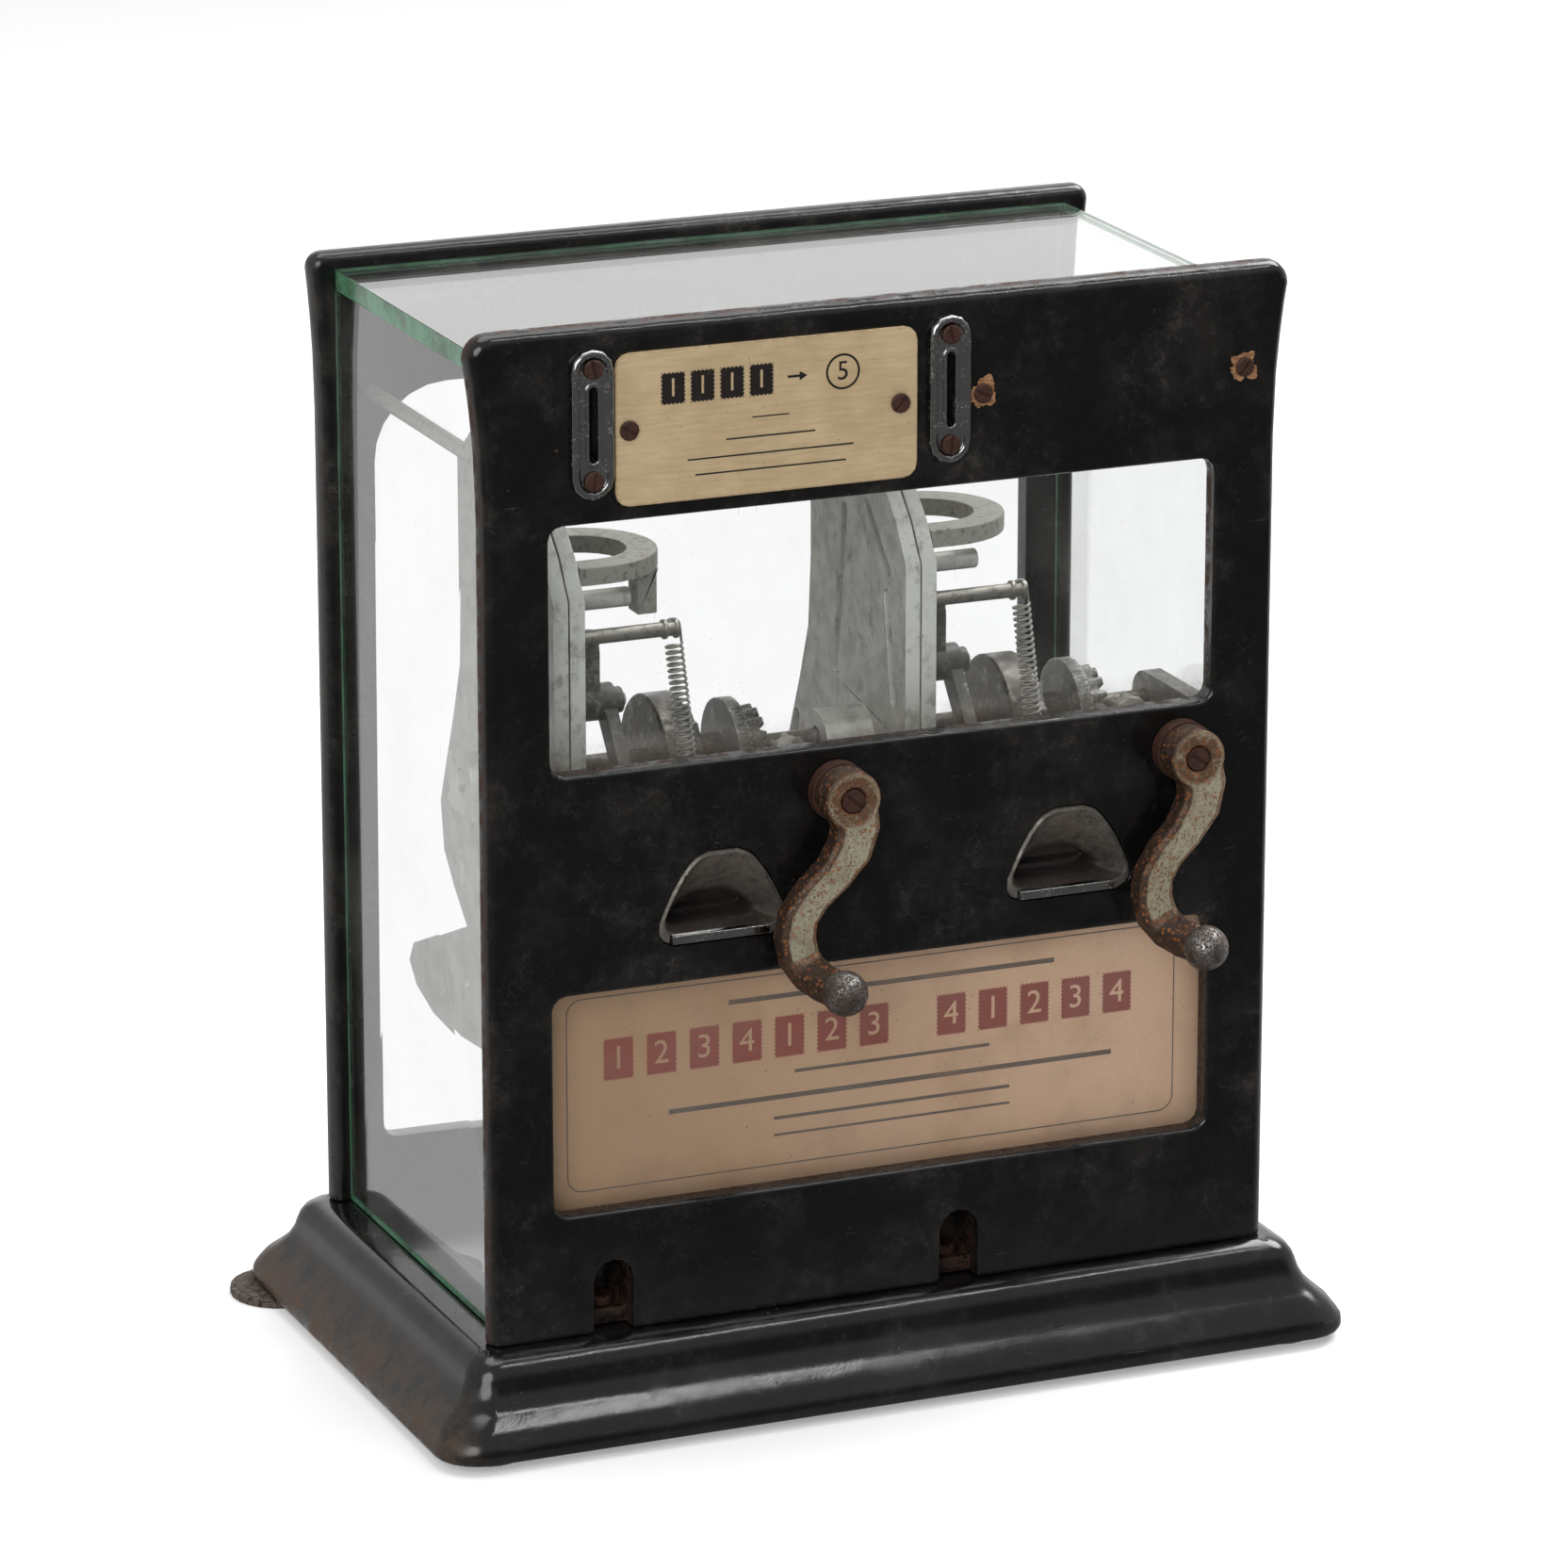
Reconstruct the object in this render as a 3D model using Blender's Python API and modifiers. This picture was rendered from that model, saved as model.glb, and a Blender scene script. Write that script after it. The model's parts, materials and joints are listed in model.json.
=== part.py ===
"""Postage stamp vending machine: a glass case held between two flanged iron castings on a
moulded base, with two crank-driven stamp units side by side. Metres, +Z up, front towards -Y.
Places are measured from the middle of the front casting's face, at its foot on the base."""
import math

import bmesh
import bpy
from mathutils import Matrix, Vector

# Clearances and overruns
fit_gap = 0.0003
overrun = 0.002
merge_distance = 0.00001

# Base casting and feet
foot_thickness = 0.003
foot_radius = 0.012
foot_inset = 0.019
loose_foot_radius = 0.017
loose_foot_drift_x = 0.0108
loose_foot_drift_y = 0.0015
base_height = 0.029
base_projection = 0.0225
base_wall = 0.0042
base_top = 0.005
base_corner_radius = 0.005
base_corner_share = 0.4
base_corner_steps = 5
foot_pad = 0.034
ledge = foot_thickness + base_height
moulding_shares = ((0.97, 0.0), (1.0, 0.07), (0.99, 0.15), (0.93, 0.23), (0.83, 0.34), (0.67, 0.45),
                   (0.55, 0.545), (0.475, 0.655), (0.44, 0.75), (0.40, 0.835), (0.33, 0.915),
                   (0.23, 0.97), (0.12, 1.0))

# Front and back castings
casting_width = 0.2623
casting_height = 0.3175
casting_depth = 0.007
case_depth = 0.150
flare = 0.004
flare_start_share = 0.825197
casting_corner_radius = 0.0075
front_casting_round = 0.0045
back_casting_drop = 0.0048
back_flare = 0.0024
back_corner_radius = 0.0050
back_casting_round = 0.0040
casting_rear_round = 0.0011
flare_shares = ((0.0, 0.0), (0.16, 0.40), (0.45, 0.67), (0.75, 0.87), (1.0, 1.0))
front_edge_shares = ((0.0, 1.0), (0.076, 0.617), (0.293, 0.293), (0.617, 0.076), (1.0, 0.0))
rear_edge_shares = ((1.0, 0.0), (0.293, 0.293), (0.0, 1.0))
window_corner = 0.0045
window_chamfer = 0.001
stile_width = 0.02115
upper_window_bottom_share = 0.565354
upper_window_top_share = 0.809764
lower_window_bottom_share = 0.123780
lower_window_top_share = 0.346142
rear_opening_inset = 0.020
rear_opening_bottom = 0.020
rear_opening_top_share = 0.845669
rear_opening_corner = 0.024
rear_opening_foot_corner = 0.005
flange_depth = 0.012
flange_height = 0.005
flange_end_inset = 0.012
notch_width = 0.013
notch_height = 0.0235
notch_offset = 0.0055
notch_boss_width = 0.019
notch_boss_depth = 0.0136
notch_boss_wall = 0.003
base_screw_y = 0.0128

# Glass, card and backing
pane_thickness = 0.003
pane_inset = 0.0059
groove_depth = 0.002
top_glass_thickness = 0.0058
top_glass_drop = 0.0104
window_glass_thickness = 0.0025
window_glass_lap = 0.0035
sign_glass_thickness = 0.0023
sign_glass_lap = 0.0045
card_thickness = 0.0008
backing_thickness = 0.0012

# Tie rods
tie_rod_radius = 0.0025
tie_rod_inset = 0.0195
tie_rod_height_share = 0.840945
tie_rod_sink = 0.004
tie_nut_radius = 0.0048
tie_nut_length = 0.004

# The two units
left_unit_x = -0.0965
unit_pitch = 0.116

# Coin plates and coin slots
slot_height_share = 0.907087
slot_length = 0.0235
slot_width = 0.0027
coin_plate_width = 0.0135
coin_plate_length = 0.046
coin_plate_thickness = 0.0024
coin_plate_rim = 0.0013
coin_plate_bevel = 0.0006
coin_plate_recess = 0.0007
coin_lip = 0.0012
coin_screw_spacing = 0.0342

# Small slotted screws
screw_head_radius = 0.0031
screw_head_height = 0.0011
screw_shank_radius = 0.0014
screw_shank_length = 0.0055
screw_cut_width = 0.0009
screw_cut_depth = 0.0006
screw_dome_shares = ((1.0, 0.0), (1.0, 0.65), (0.85, 1.0))
base_screw_head_radius = 0.0042
base_screw_head_height = 0.003
base_screw_shank_radius = 0.0022
base_screw_shank_length = 0.0085

# Price plate
price_plate_width = 0.098
price_plate_height = 0.047
price_plate_thickness = 0.0012
price_plate_corner = 0.0045
price_plate_offset = 0.0563
price_plate_z_share = 0.898583
price_screw_spacing = 0.0880
price_screw_offset = 0.0555

# Stamp outlets
outlet_offset = 0.042
outlet_bottom_share = 0.384882
outlet_width = 0.0418
outlet_height = 0.0286
outlet_proud = 0.0004
outlet_round = 0.0008
outlet_reach = 0.022
outlet_taper = 0.0022
outlet_flange = 0.003
outlet_flange_depth = 0.0025
outlet_slot_depth = 0.012
outlet_shares = ((0.77, 0.0), (0.93, 0.055), (1.0, 0.13), (0.995, 0.26), (0.875, 0.46), (0.79, 0.585),
                 (0.65, 0.755), (0.52, 0.875), (0.415, 0.945), (0.23, 1.0))
mouth_shares = (0.91, 0.84, 0.10)
throat_shares = (0.68, 0.30, 0.13)
strip_guide_width = 0.036
strip_guide_rise = 0.0095
strip_guide_thickness = 0.0014
tear_bar_length = 0.032
tear_bar_height = 0.0027
tear_bar_depth = 0.003
tear_bar_proud = 0.0019
tear_bar_rise = 0.0008
tear_bar_shift = 0.0012

# Crank
crank_offset = 0.0792
crank_height_share = 0.522205
crank_shaft_radius = 0.004
bush_flange_radius = 0.0095
bush_flange_depth = 0.0048
bush_radius = 0.0065
bush_length = 0.014
arm_thickness = 0.0090
arm_width = 0.0120
arm_hub_radius = 0.0092
crank_throw = 0.0555
knob_radius = 0.0070
knob_reach = 0.0200
knob_share = 0.171
shaft_socket = 0.0040
crank_screw_radius = 0.0037
crank_screw_head = 0.0020
crank_screw_shank = 0.0055
right_crank_turn = math.radians(-5.5)
section_corner = 0.7
arm_shares = ((0.014, -0.054, 0.0, 1.33, 1.0), (0.041, -0.169, 0.0, 1.21, 1.0),
              (0.005, -0.297, 0.0, 1.12, 1.0), (-0.095, -0.427, 0.0, 0.96, 1.0),
              (-0.220, -0.535, 0.0, 0.92, 1.0), (-0.299, -0.647, 0.0, 0.96, 1.0), (-0.319, -0.764, 0.0, 1.0, 1.0),
              (-0.294, -0.886, 0.0, 1.0, 1.02), (-0.256, -0.959, 0.15, 0.92, 1.07),
              (-0.220, -0.991, 0.45, 0.83, 1.11), (-0.187, -1.0, 0.725, 0.81, 1.08))

# Coin chute: two plates with the coin's channel between them
chute_thickness = 0.0106
chute_clearance = 0.0009
chute_back = 0.144
channel_depth = 0.0026
channel_width = 0.0222
chute_shares = ((0.0, 1.0), (0.0, 0.909), (0.166, 0.892), (0.268, 0.872), (0.225, 0.832), (0.151, 0.799),
                (0.093, 0.759), (0.093, 0.569), (0.0, 0.563), (0.0, 0.486), (0.093, 0.479), (0.122, 0.383),
                (0.166, 0.316), (0.254, 0.266), (0.386, 0.233), (0.576, 0.220), (0.715, 0.216),
                (0.854, 0.223), (0.956, 0.240), (1.0, 0.263), (0.971, 0.286), (0.656, 0.346), (0.729, 0.379),
                (0.788, 0.413), (0.802, 0.466), (0.766, 0.506), (0.707, 0.569), (0.656, 0.632),
                (0.642, 0.709), (0.642, 0.859), (0.532, 0.899), (0.276, 0.965), (0.093, 1.0))
coin_path_shares = ((-0.053, 0.959), (0.049, 0.954), (0.137, 0.945), (0.210, 0.927), (0.268, 0.905),
                    (0.316, 0.880), (0.342, 0.852), (0.342, 0.826), (0.320, 0.802), (0.265, 0.771),
                    (0.217, 0.742), (0.195, 0.712), (0.188, 0.682), (0.184, 0.609), (0.210, 0.549),
                    (0.276, 0.466), (0.400, 0.399), (0.605, 0.326), (0.824, 0.280), (1.030, 0.265))
chute_slot_width = 0.0038
chute_slot_shares = (((0.442, 0.782), (0.497, 0.603)), ((0.317, 0.799), (0.254, 0.769), (0.195, 0.742)),
                     ((0.203, 0.716), (0.164, 0.608)), ((0.722, 0.526), (0.738, 0.476)),
                     ((0.678, 0.433), (0.671, 0.393)), ((0.662, 0.282), (0.666, 0.280)))
boss_length = 0.0160
boss_width = 0.019
boss_foot = 0.011

# Slug magnet, its stud and the spring's post
magnet_arm = 0.0096
magnet_thickness = 0.0057
magnet_radius = 0.0240
magnet_straight = 0.0090
magnet_y = 0.0490
magnet_z_share = 0.728189
magnet_clip_width = 0.0065
magnet_clip_length = 0.008
magnet_clip_drop = 0.014
magnet_clip_offset = 0.0318
stud_radius = 0.0031
stud_length = 0.0220
stud_y = 0.040
stud_z_share = 0.700787
post_radius = 0.0023
post_collar_radius = 0.0031
post_collar_length = 0.0012
post_end = 0.0368
post_y = 0.0245
post_z_share = 0.678110

# Coin lever
lever_y = 0.050
lever_z_share = 0.588976
lever_stud_radius = 0.0022
lever_stud_end = 0.0295
lever_hub_radius = 0.0058
lever_hub_end = 0.0252
lever_ring_radius = 0.0041
lever_ring_end = 0.0282
lever_arm_start = 0.0210
lever_arm_thickness = 0.0042
lever_arm_width = 0.0074
lever_pin_y = 0.0245
lever_pin_z_share = 0.485039
lever_pin_radius = 0.0021
lever_pin_end = 0.0462
horn_start = 0.0160
horn_height = 0.0165
horn_knob_radius = 0.0034

# Extension spring between the post and the lever's pin
spring_top_offset = 0.0342
spring_bottom_offset = 0.0432
spring_radius = 0.00255
spring_wire_radius = 0.00045
spring_turns = 21
spring_turn_points = 8
spring_hook_gap = 0.00035
spring_hook_points = 11
spring_neck = 0.0024

# Feed train: shaft, drum with its ratchet, and the bevel pair
shaft_y = 0.053
shaft_radius = 0.0035
shaft_start = 0.0080
shaft_chamfer = 0.0005
left_shaft_end = 0.1015
right_shaft_end = 0.0985
bracket_start = 0.0920
bracket_radius = 0.0095
bracket_foot_drop = 0.0138
bracket_foot_rise = 0.0094
bracket_foot_depth = 0.009
drum_start = 0.037
drum_width = 0.010
drum_radius = 0.0205
drum_chamfer = 0.0008
ratchet_width = 0.0038
ratchet_radius = 0.0168
ratchet_root = 0.0152
ratchet_teeth = 12
drum_hub_radius = 0.0062
drum_hub_end = 0.0616
gear_disc_radius = 0.0165
gear_disc_start = 0.0627
gear_disc_width = 0.0043
gear_teeth = 16
pinion_teeth = 8
pinion_pitch_radius = 0.0065
tooth_tip_height = 0.0010
tooth_root_depth = 0.00125
tooth_shares = (-0.33, -0.10, 0.10, 0.33)
tooth_share_margin = 0.01
bevel_inner_share = 0.80
pinion_back_radius = 0.0068
pinion_back_length = 0.0045

# Places that follow the castings' height
flare_start = casting_height * flare_start_share
upper_window_bottom = casting_height * upper_window_bottom_share
upper_window_height = casting_height * upper_window_top_share - upper_window_bottom
lower_window_bottom = casting_height * lower_window_bottom_share
lower_window_height = casting_height * lower_window_top_share - lower_window_bottom
rear_opening_top = casting_height * rear_opening_top_share
tie_rod_height = casting_height * tie_rod_height_share
slot_height = casting_height * slot_height_share
price_plate_z = casting_height * price_plate_z_share
outlet_bottom = casting_height * outlet_bottom_share
crank_height = casting_height * crank_height_share
magnet_z = casting_height * magnet_z_share
stud_z = casting_height * stud_z_share
post_z = casting_height * post_z_share
lever_z = casting_height * lever_z_share
lever_pin_z = casting_height * lever_pin_z_share
top_glass_height = casting_height - top_glass_drop
chute_top = top_glass_height - top_glass_thickness - chute_clearance
bracket_foot_bottom = crank_height - bracket_foot_drop
bracket_foot_top = crank_height + bracket_foot_rise

half_casting = casting_width / 2
window_width = casting_width - 2 * stile_width
casting_foot = fit_gap
shaft_z = crank_height
gear_pitch_radius = pinion_pitch_radius * gear_teeth / pinion_teeth
base_right = half_casting + base_projection
loose_foot_x = -(base_right - foot_inset) - loose_foot_drift_x
loose_foot_y = case_depth + base_projection - foot_inset + loose_foot_drift_y
arm_back = -fit_gap - bush_flange_depth - fit_gap
arm_front = arm_back - arm_thickness
arm_middle = arm_back - arm_thickness / 2
knob_y = arm_middle - knob_reach
origin_x = (loose_foot_x - loose_foot_radius + base_right) / 2
origin_y = (knob_y - knob_radius + case_depth + base_projection) / 2
inner_face = casting_depth + fit_gap
back_casting_y = case_depth - casting_depth

finishes = {
    "black_enamel": ((0.012, 0.012, 0.014), 0.22, 0.0),
    "case_glass": ((0.78, 0.88, 0.84), 0.05, 0.0),
    "card": ((0.55, 0.36, 0.27), 0.85, 0.0),
    "tan_plate": ((0.52, 0.42, 0.27), 0.55, 0.0),
    "worn_chrome": ((0.55, 0.56, 0.57), 0.25, 1.0),
    "worn_nickel": ((0.42, 0.38, 0.31), 0.45, 0.9),
    "pot_metal": ((0.30, 0.29, 0.27), 0.6, 0.6),
    "dull_steel": ((0.25, 0.24, 0.23), 0.45, 0.9),
    "rusty_steel": ((0.09, 0.045, 0.03), 0.75, 0.4),
    "rubber": ((0.05, 0.035, 0.025), 0.85, 0.0),
}
axis_turns = {
    "X": Matrix.Rotation(math.radians(90), 4, "Y"),
    "Y": Matrix.Rotation(math.radians(-90), 4, "X"),
    "Z": Matrix(),
}


def new_collection(name):
    group = bpy.data.collections.new(name)
    bpy.context.scene.collection.children.link(group)
    return group


for leftover in list(bpy.data.objects):
    bpy.data.objects.remove(leftover, do_unlink=True)
machine_group = new_collection("stamp_vending_machine")
cutter_group = new_collection("cutters")


def new_empty(name, location, parent=None):
    thing = bpy.data.objects.new(name, None)
    machine_group.objects.link(thing)
    thing.location = location
    thing.parent = parent
    return thing


machine = new_empty("machine", (-origin_x, -origin_y, ledge))


def material(name):
    found = bpy.data.materials.get(name)
    if found:
        return found
    colour, roughness, metallic = finishes[name]
    found = bpy.data.materials.new(name)
    found.use_nodes = True
    shader = found.node_tree.nodes["Principled BSDF"]
    shader.inputs["Base Color"].default_value = (*colour, 1.0)
    shader.inputs["Roughness"].default_value = roughness
    shader.inputs["Metallic"].default_value = metallic
    return found


def place(name, mesh, finish):
    """Link a mesh as a piece of the machine, or as a hidden cutter when it has no finish."""
    thing = bpy.data.objects.new(name, mesh)
    if finish:
        machine_group.objects.link(thing)
        mesh.materials.append(material(finish))
    else:
        cutter_group.objects.link(thing)
        thing.hide_render = True
        thing.display_type = "WIRE"
    thing.parent = machine
    return thing


def mesh_from(name, shape):
    bmesh.ops.recalc_face_normals(shape, faces=shape.faces)
    mesh = bpy.data.meshes.new(name)
    shape.to_mesh(mesh)
    shape.free()
    mesh.shade_smooth()
    mesh.set_sharp_from_angle(angle=math.radians(35))
    return mesh


def box(name, low, high, finish=None):
    shape = bmesh.new()
    bmesh.ops.create_cube(shape, size=1)
    bmesh.ops.scale(shape, vec=Vector(high) - Vector(low), verts=shape.verts)
    bmesh.ops.translate(shape, vec=(Vector(high) + Vector(low)) / 2, verts=shape.verts)
    return place(name, mesh_from(name, shape), finish)


def rod(name, radius, start, length, axis, finish=None, sides=20):
    """A cylinder from the point start, along an axis."""
    shape = bmesh.new()
    bmesh.ops.create_cone(shape, cap_ends=True, segments=sides, radius1=radius, radius2=radius, depth=length)
    middle = Matrix.Translation((0, 0, length / 2))
    stand = Matrix.Translation(start) @ axis_turns[axis] @ middle
    bmesh.ops.transform(shape, matrix=stand, verts=shape.verts)
    return place(name, mesh_from(name, shape), finish)


def ball(name, radius, centre, sides, finish=None):
    shape = bmesh.new()
    bmesh.ops.create_uvsphere(shape, u_segments=sides, v_segments=sides // 2 + 2, radius=radius)
    bmesh.ops.translate(shape, vec=centre, verts=shape.verts)
    return place(name, mesh_from(name, shape), finish)


def turned(name, profile, centre, axis, finish=None, steps=20, hollow=False):
    """A solid of revolution. The profile lists (radius, distance), from the far end down the outer
    side to the near end, and back up the bore when it is hollow."""
    mesh = bpy.data.meshes.new(name)
    edges = [(index, index + 1) for index in range(len(profile) - 1)]
    if hollow:
        edges.append((len(profile) - 1, 0))
    mesh.from_pydata([(radius, 0, distance) for radius, distance in profile], edges, [])
    thing = place(name, mesh, finish)
    screw = thing.modifiers.new("turn", "SCREW")
    screw.steps = steps
    screw.render_steps = steps
    screw.use_merge_vertices = True
    screw.merge_threshold = merge_distance
    thing.matrix_basis = Matrix.Translation(centre) @ axis_turns[axis]
    return thing


def loft(name, rings, finish=None):
    """A closed solid through rings of equally many points."""
    shape = bmesh.new()
    levels = [[shape.verts.new(point) for point in ring] for ring in rings]
    for lower, upper in zip(levels, levels[1:]):
        for index in range(len(lower)):
            shape.faces.new((lower[index - 1], lower[index], upper[index], upper[index - 1]))
    shape.faces.new(levels[0])
    shape.faces.new(levels[-1])
    return place(name, mesh_from(name, shape), finish)


def slab(name, outline, start, end, plane, finish=None):
    """A flat piece: its outline in the XZ, YZ or XY plane, its thickness from start to end."""
    curve = bpy.data.curves.new(name, "CURVE")
    curve.dimensions = "2D"
    curve.fill_mode = "BOTH"
    curve.extrude = abs(end - start) / 2
    spline = curve.splines.new("POLY")
    spline.points.add(len(outline) - 1)
    for point, (across, up) in zip(spline.points, outline):
        point.co = (across, up, 0, 1)
    spline.use_cyclic_u = True
    guide = bpy.data.objects.new(name, curve)
    cutter_group.objects.link(guide)
    mesh = bpy.data.meshes.new_from_object(guide.evaluated_get(bpy.context.evaluated_depsgraph_get()))
    bpy.data.objects.remove(guide, do_unlink=True)
    mesh.materials.clear()
    shape = bmesh.new()
    shape.from_mesh(mesh)
    bpy.data.meshes.remove(mesh)
    bmesh.ops.remove_doubles(shape, verts=shape.verts, dist=merge_distance)
    upright = Matrix.Rotation(math.radians(90), 4, "X")
    sideways = Matrix.Rotation(math.radians(90), 4, "Z")
    middle = (start + end) / 2
    turns = {"XZ": Matrix.Translation((0, middle, 0)) @ upright,
             "YZ": Matrix.Translation((middle, 0, 0)) @ sideways @ upright,
             "XY": Matrix.Translation((0, 0, middle))}
    bmesh.ops.transform(shape, matrix=turns[plane], verts=shape.verts)
    return place(name, mesh_from(name, shape), finish)


def add_boolean(target, other, operation):
    step = target.modifiers.new(other.name, "BOOLEAN")
    step.operation = operation
    step.solver = "EXACT"
    step.object = other


def cut(target, *cutters):
    for cutter in cutters:
        add_boolean(target, cutter, "DIFFERENCE")
    return target


def join(target, *others):
    for other in others:
        add_boolean(target, other, "UNION")
    return target


def hang(piece, pivot):
    """Move a piece to a pivot without changing where it stands."""
    piece.parent = pivot
    piece.location -= pivot.location
    return piece


def arc(centre, radius, first, last, steps):
    """Points of an arc between two angles in degrees, both ends included."""
    angles = [math.radians(first + (last - first) * step / steps) for step in range(steps + 1)]
    return [(centre[0] + radius * math.cos(angle), centre[1] + radius * math.sin(angle)) for angle in angles]


def rounded_rectangle(low, high, radius, foot=None, steps=3):
    """Outline with round corners, anticlockwise from the lower right one."""
    foot = foot or radius
    return (arc((high[0] - foot, low[1] + foot), foot, -90, 0, steps)
            + arc((high[0] - radius, high[1] - radius), radius, 0, 90, steps)
            + arc((low[0] + radius, high[1] - radius), radius, 90, 180, steps)
            + arc((low[0] + foot, low[1] + foot), foot, 180, 270, steps))


def stadium(centre, width, length, steps=6):
    """Outline of an upright slot with round ends."""
    half = (length - width) / 2
    return (arc((centre[0], centre[1] + half), width / 2, 0, 180, steps)
            + arc((centre[0], centre[1] - half), width / 2, 180, 360, steps))


def grown(outline, distance):
    """The anticlockwise outline moved outwards by a distance."""
    moved = []
    for index, point in enumerate(outline):
        here = Vector(point)
        before = (here - Vector(outline[index - 1])).normalized()
        after = (Vector(outline[(index + 1) % len(outline)]) - here).normalized()
        normal = Vector((before.y + after.y, -before.x - after.x)).normalized()
        reach = distance / max(normal.dot(Vector((before.y, -before.x))), 0.5)
        moved.append(tuple(here + normal * reach))
    return moved


def ribbon(points, width, steps=4):
    """Outline of a strip of a width along a run of points, with round ends."""
    line = [Vector(point) for point in points]
    left, right = [], []
    for index, here in enumerate(line):
        along = (line[min(index + 1, len(line) - 1)] - line[max(index - 1, 0)]).normalized()
        aside = Vector((-along.y, along.x)) * width / 2
        left.append(tuple(here + aside))
        right.append(tuple(here - aside))
    first = math.degrees(math.atan2(line[1].y - line[0].y, line[1].x - line[0].x))
    last = math.degrees(math.atan2(line[-1].y - line[-2].y, line[-1].x - line[-2].x))
    start_cap = arc(points[0], width / 2, first + 90, first + 270, steps)[1:-1]
    end_cap = arc(points[-1], width / 2, last - 90, last + 90, steps)[1:-1]
    return right + end_cap + left[::-1] + start_cap


def upright(outline, y):
    return [(across, y, up) for across, up in outline]


def small_screw(name, x, head_back, z, slot_turn, finish="rusty_steel"):
    """A slotted screw driven in from the front, its head resting against head_back."""
    profile = [(0, screw_shank_length), (screw_shank_radius, screw_shank_length), (screw_shank_radius, 0)]
    profile += [(screw_head_radius * wide, -screw_head_height * high) for wide, high in screw_dome_shares]
    profile.append((0, -screw_head_height))
    piece = turned(name, profile, (x, head_back, z), "Y", finish, 12)
    reach = screw_head_radius + overrun
    groove = box(name + "_groove", (-reach, -screw_head_height - overrun, -screw_cut_width / 2),
                 (reach, screw_cut_depth - screw_head_height, screw_cut_width / 2))
    groove.matrix_basis = Matrix.Translation((x, head_back, z)) @ Matrix.Rotation(slot_turn, 4, "Y")
    return cut(piece, groove)


def screw_hole(name, x, y, z):
    return rod(name, screw_shank_radius + fit_gap, (x, y - overrun, z), overrun + screw_shank_length, "Y",
               sides=10)


# Base casting, feet and base screws


def base_ring(outset, height):
    low = (-half_casting - outset, -outset)
    high = (half_casting + outset, case_depth + outset)
    radius = base_corner_radius + outset * base_corner_share
    return [(x, y, height) for x, y in rounded_rectangle(low, high, radius, steps=base_corner_steps)]


def hollow_ring(outset, height, inset_x, inset_y):
    reach = half_casting + outset - inset_x
    low = inset_y - outset
    high = case_depth + outset - inset_y
    return [(-reach, low, height), (reach, low, height), (reach, high, height), (-reach, high, height)]


def build_base():
    rings = [base_ring(base_projection * out, -base_height * (1 - up)) for out, up in moulding_shares]
    base = loft("base_casting", rings, "black_enamel")
    levels = [(base_projection * out - base_wall, -base_height * (1 - up)) for out, up in moulding_shares]
    levels = [(outset, height) for outset, height in levels if height < -base_top]
    levels = [(levels[0][0], -base_height - overrun)] + levels[1:] + [(levels[-1][0], -base_top)]
    wide = [hollow_ring(outset, height, 0, foot_pad) for outset, height in levels]
    deep = [hollow_ring(outset, height, foot_pad, 0) for outset, height in levels]
    cut(base, loft("base_hollow_wide", wide), loft("base_hollow_deep", deep))
    foot_x = base_right - foot_inset
    front_y = foot_inset - base_projection
    back_y = case_depth + base_projection - foot_inset
    places = {"foot_front_left": (-foot_x, front_y), "foot_front_right": (foot_x, front_y),
              "foot_rear_right": (foot_x, back_y), "foot_rear_left": (loose_foot_x, loose_foot_y)}
    for name, (x, y) in places.items():
        radius = loose_foot_radius if name == "foot_rear_left" else foot_radius
        rod(name, radius, (x, y, -ledge), foot_thickness - fit_gap, "Z", "rubber", 24)
    for side, x in (("left", left_unit_x), ("right", left_unit_x + unit_pitch)):
        build_base_screw(base, side, x + notch_offset)


def build_base_screw(base, side, x):
    top = casting_foot + flange_height + fit_gap
    head = base_screw_head_radius
    profile = [(0, base_screw_head_height), (head, base_screw_head_height), (head, 0),
               (base_screw_shank_radius, 0), (base_screw_shank_radius, -base_screw_shank_length),
               (0, -base_screw_shank_length)]
    name = "base_screw_" + side
    screw = turned(name, profile, (x, base_screw_y, top), "Z", "rusty_steel", 16)
    groove_floor = top + base_screw_head_height - screw_cut_depth
    cut(screw, box(name + "_groove", (x - screw_cut_width / 2, base_screw_y - head - overrun, groove_floor),
                   (x + screw_cut_width / 2, base_screw_y + head + overrun, groove_floor + overrun)))
    hole = base_screw_shank_radius + fit_gap
    start = (x, base_screw_y, top - base_screw_shank_length - fit_gap)
    cut(base, rod(name + "_base_hole", hole, start, base_screw_shank_length, "Z", sides=16))


# Castings


def casting_outline(height, spread, corner_radius):
    """Half-outline up the right side, then mirrored: straight, flared out, and round at the top."""
    right = [(half_casting, casting_foot)]
    rise = height - corner_radius - flare_start
    right += [(half_casting + spread * out, flare_start + rise * up) for out, up in flare_shares]
    centre = (half_casting + spread - corner_radius, height - corner_radius)
    right += arc(centre, corner_radius, 0, 90, 5)[1:]
    return right + [(-x, z) for x, z in reversed(right)]


def casting_ring(outline, inset, y):
    """The outline drawn in by an inset, its two foot points kept level with the base."""
    ring = grown(outline, -inset)
    ring[0] = (ring[0][0], casting_foot)
    ring[-1] = (ring[-1][0], casting_foot)
    return upright(ring, y)


def casting(name, start, outline, front_round):
    end = start + casting_depth
    front = [casting_ring(outline, front_round * inset, start + front_round * depth)
             for depth, inset in front_edge_shares]
    back = [casting_ring(outline, casting_rear_round * inset, end - casting_rear_round * depth)
            for depth, inset in rear_edge_shares]
    return loft(name, front + back, "black_enamel")


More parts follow.
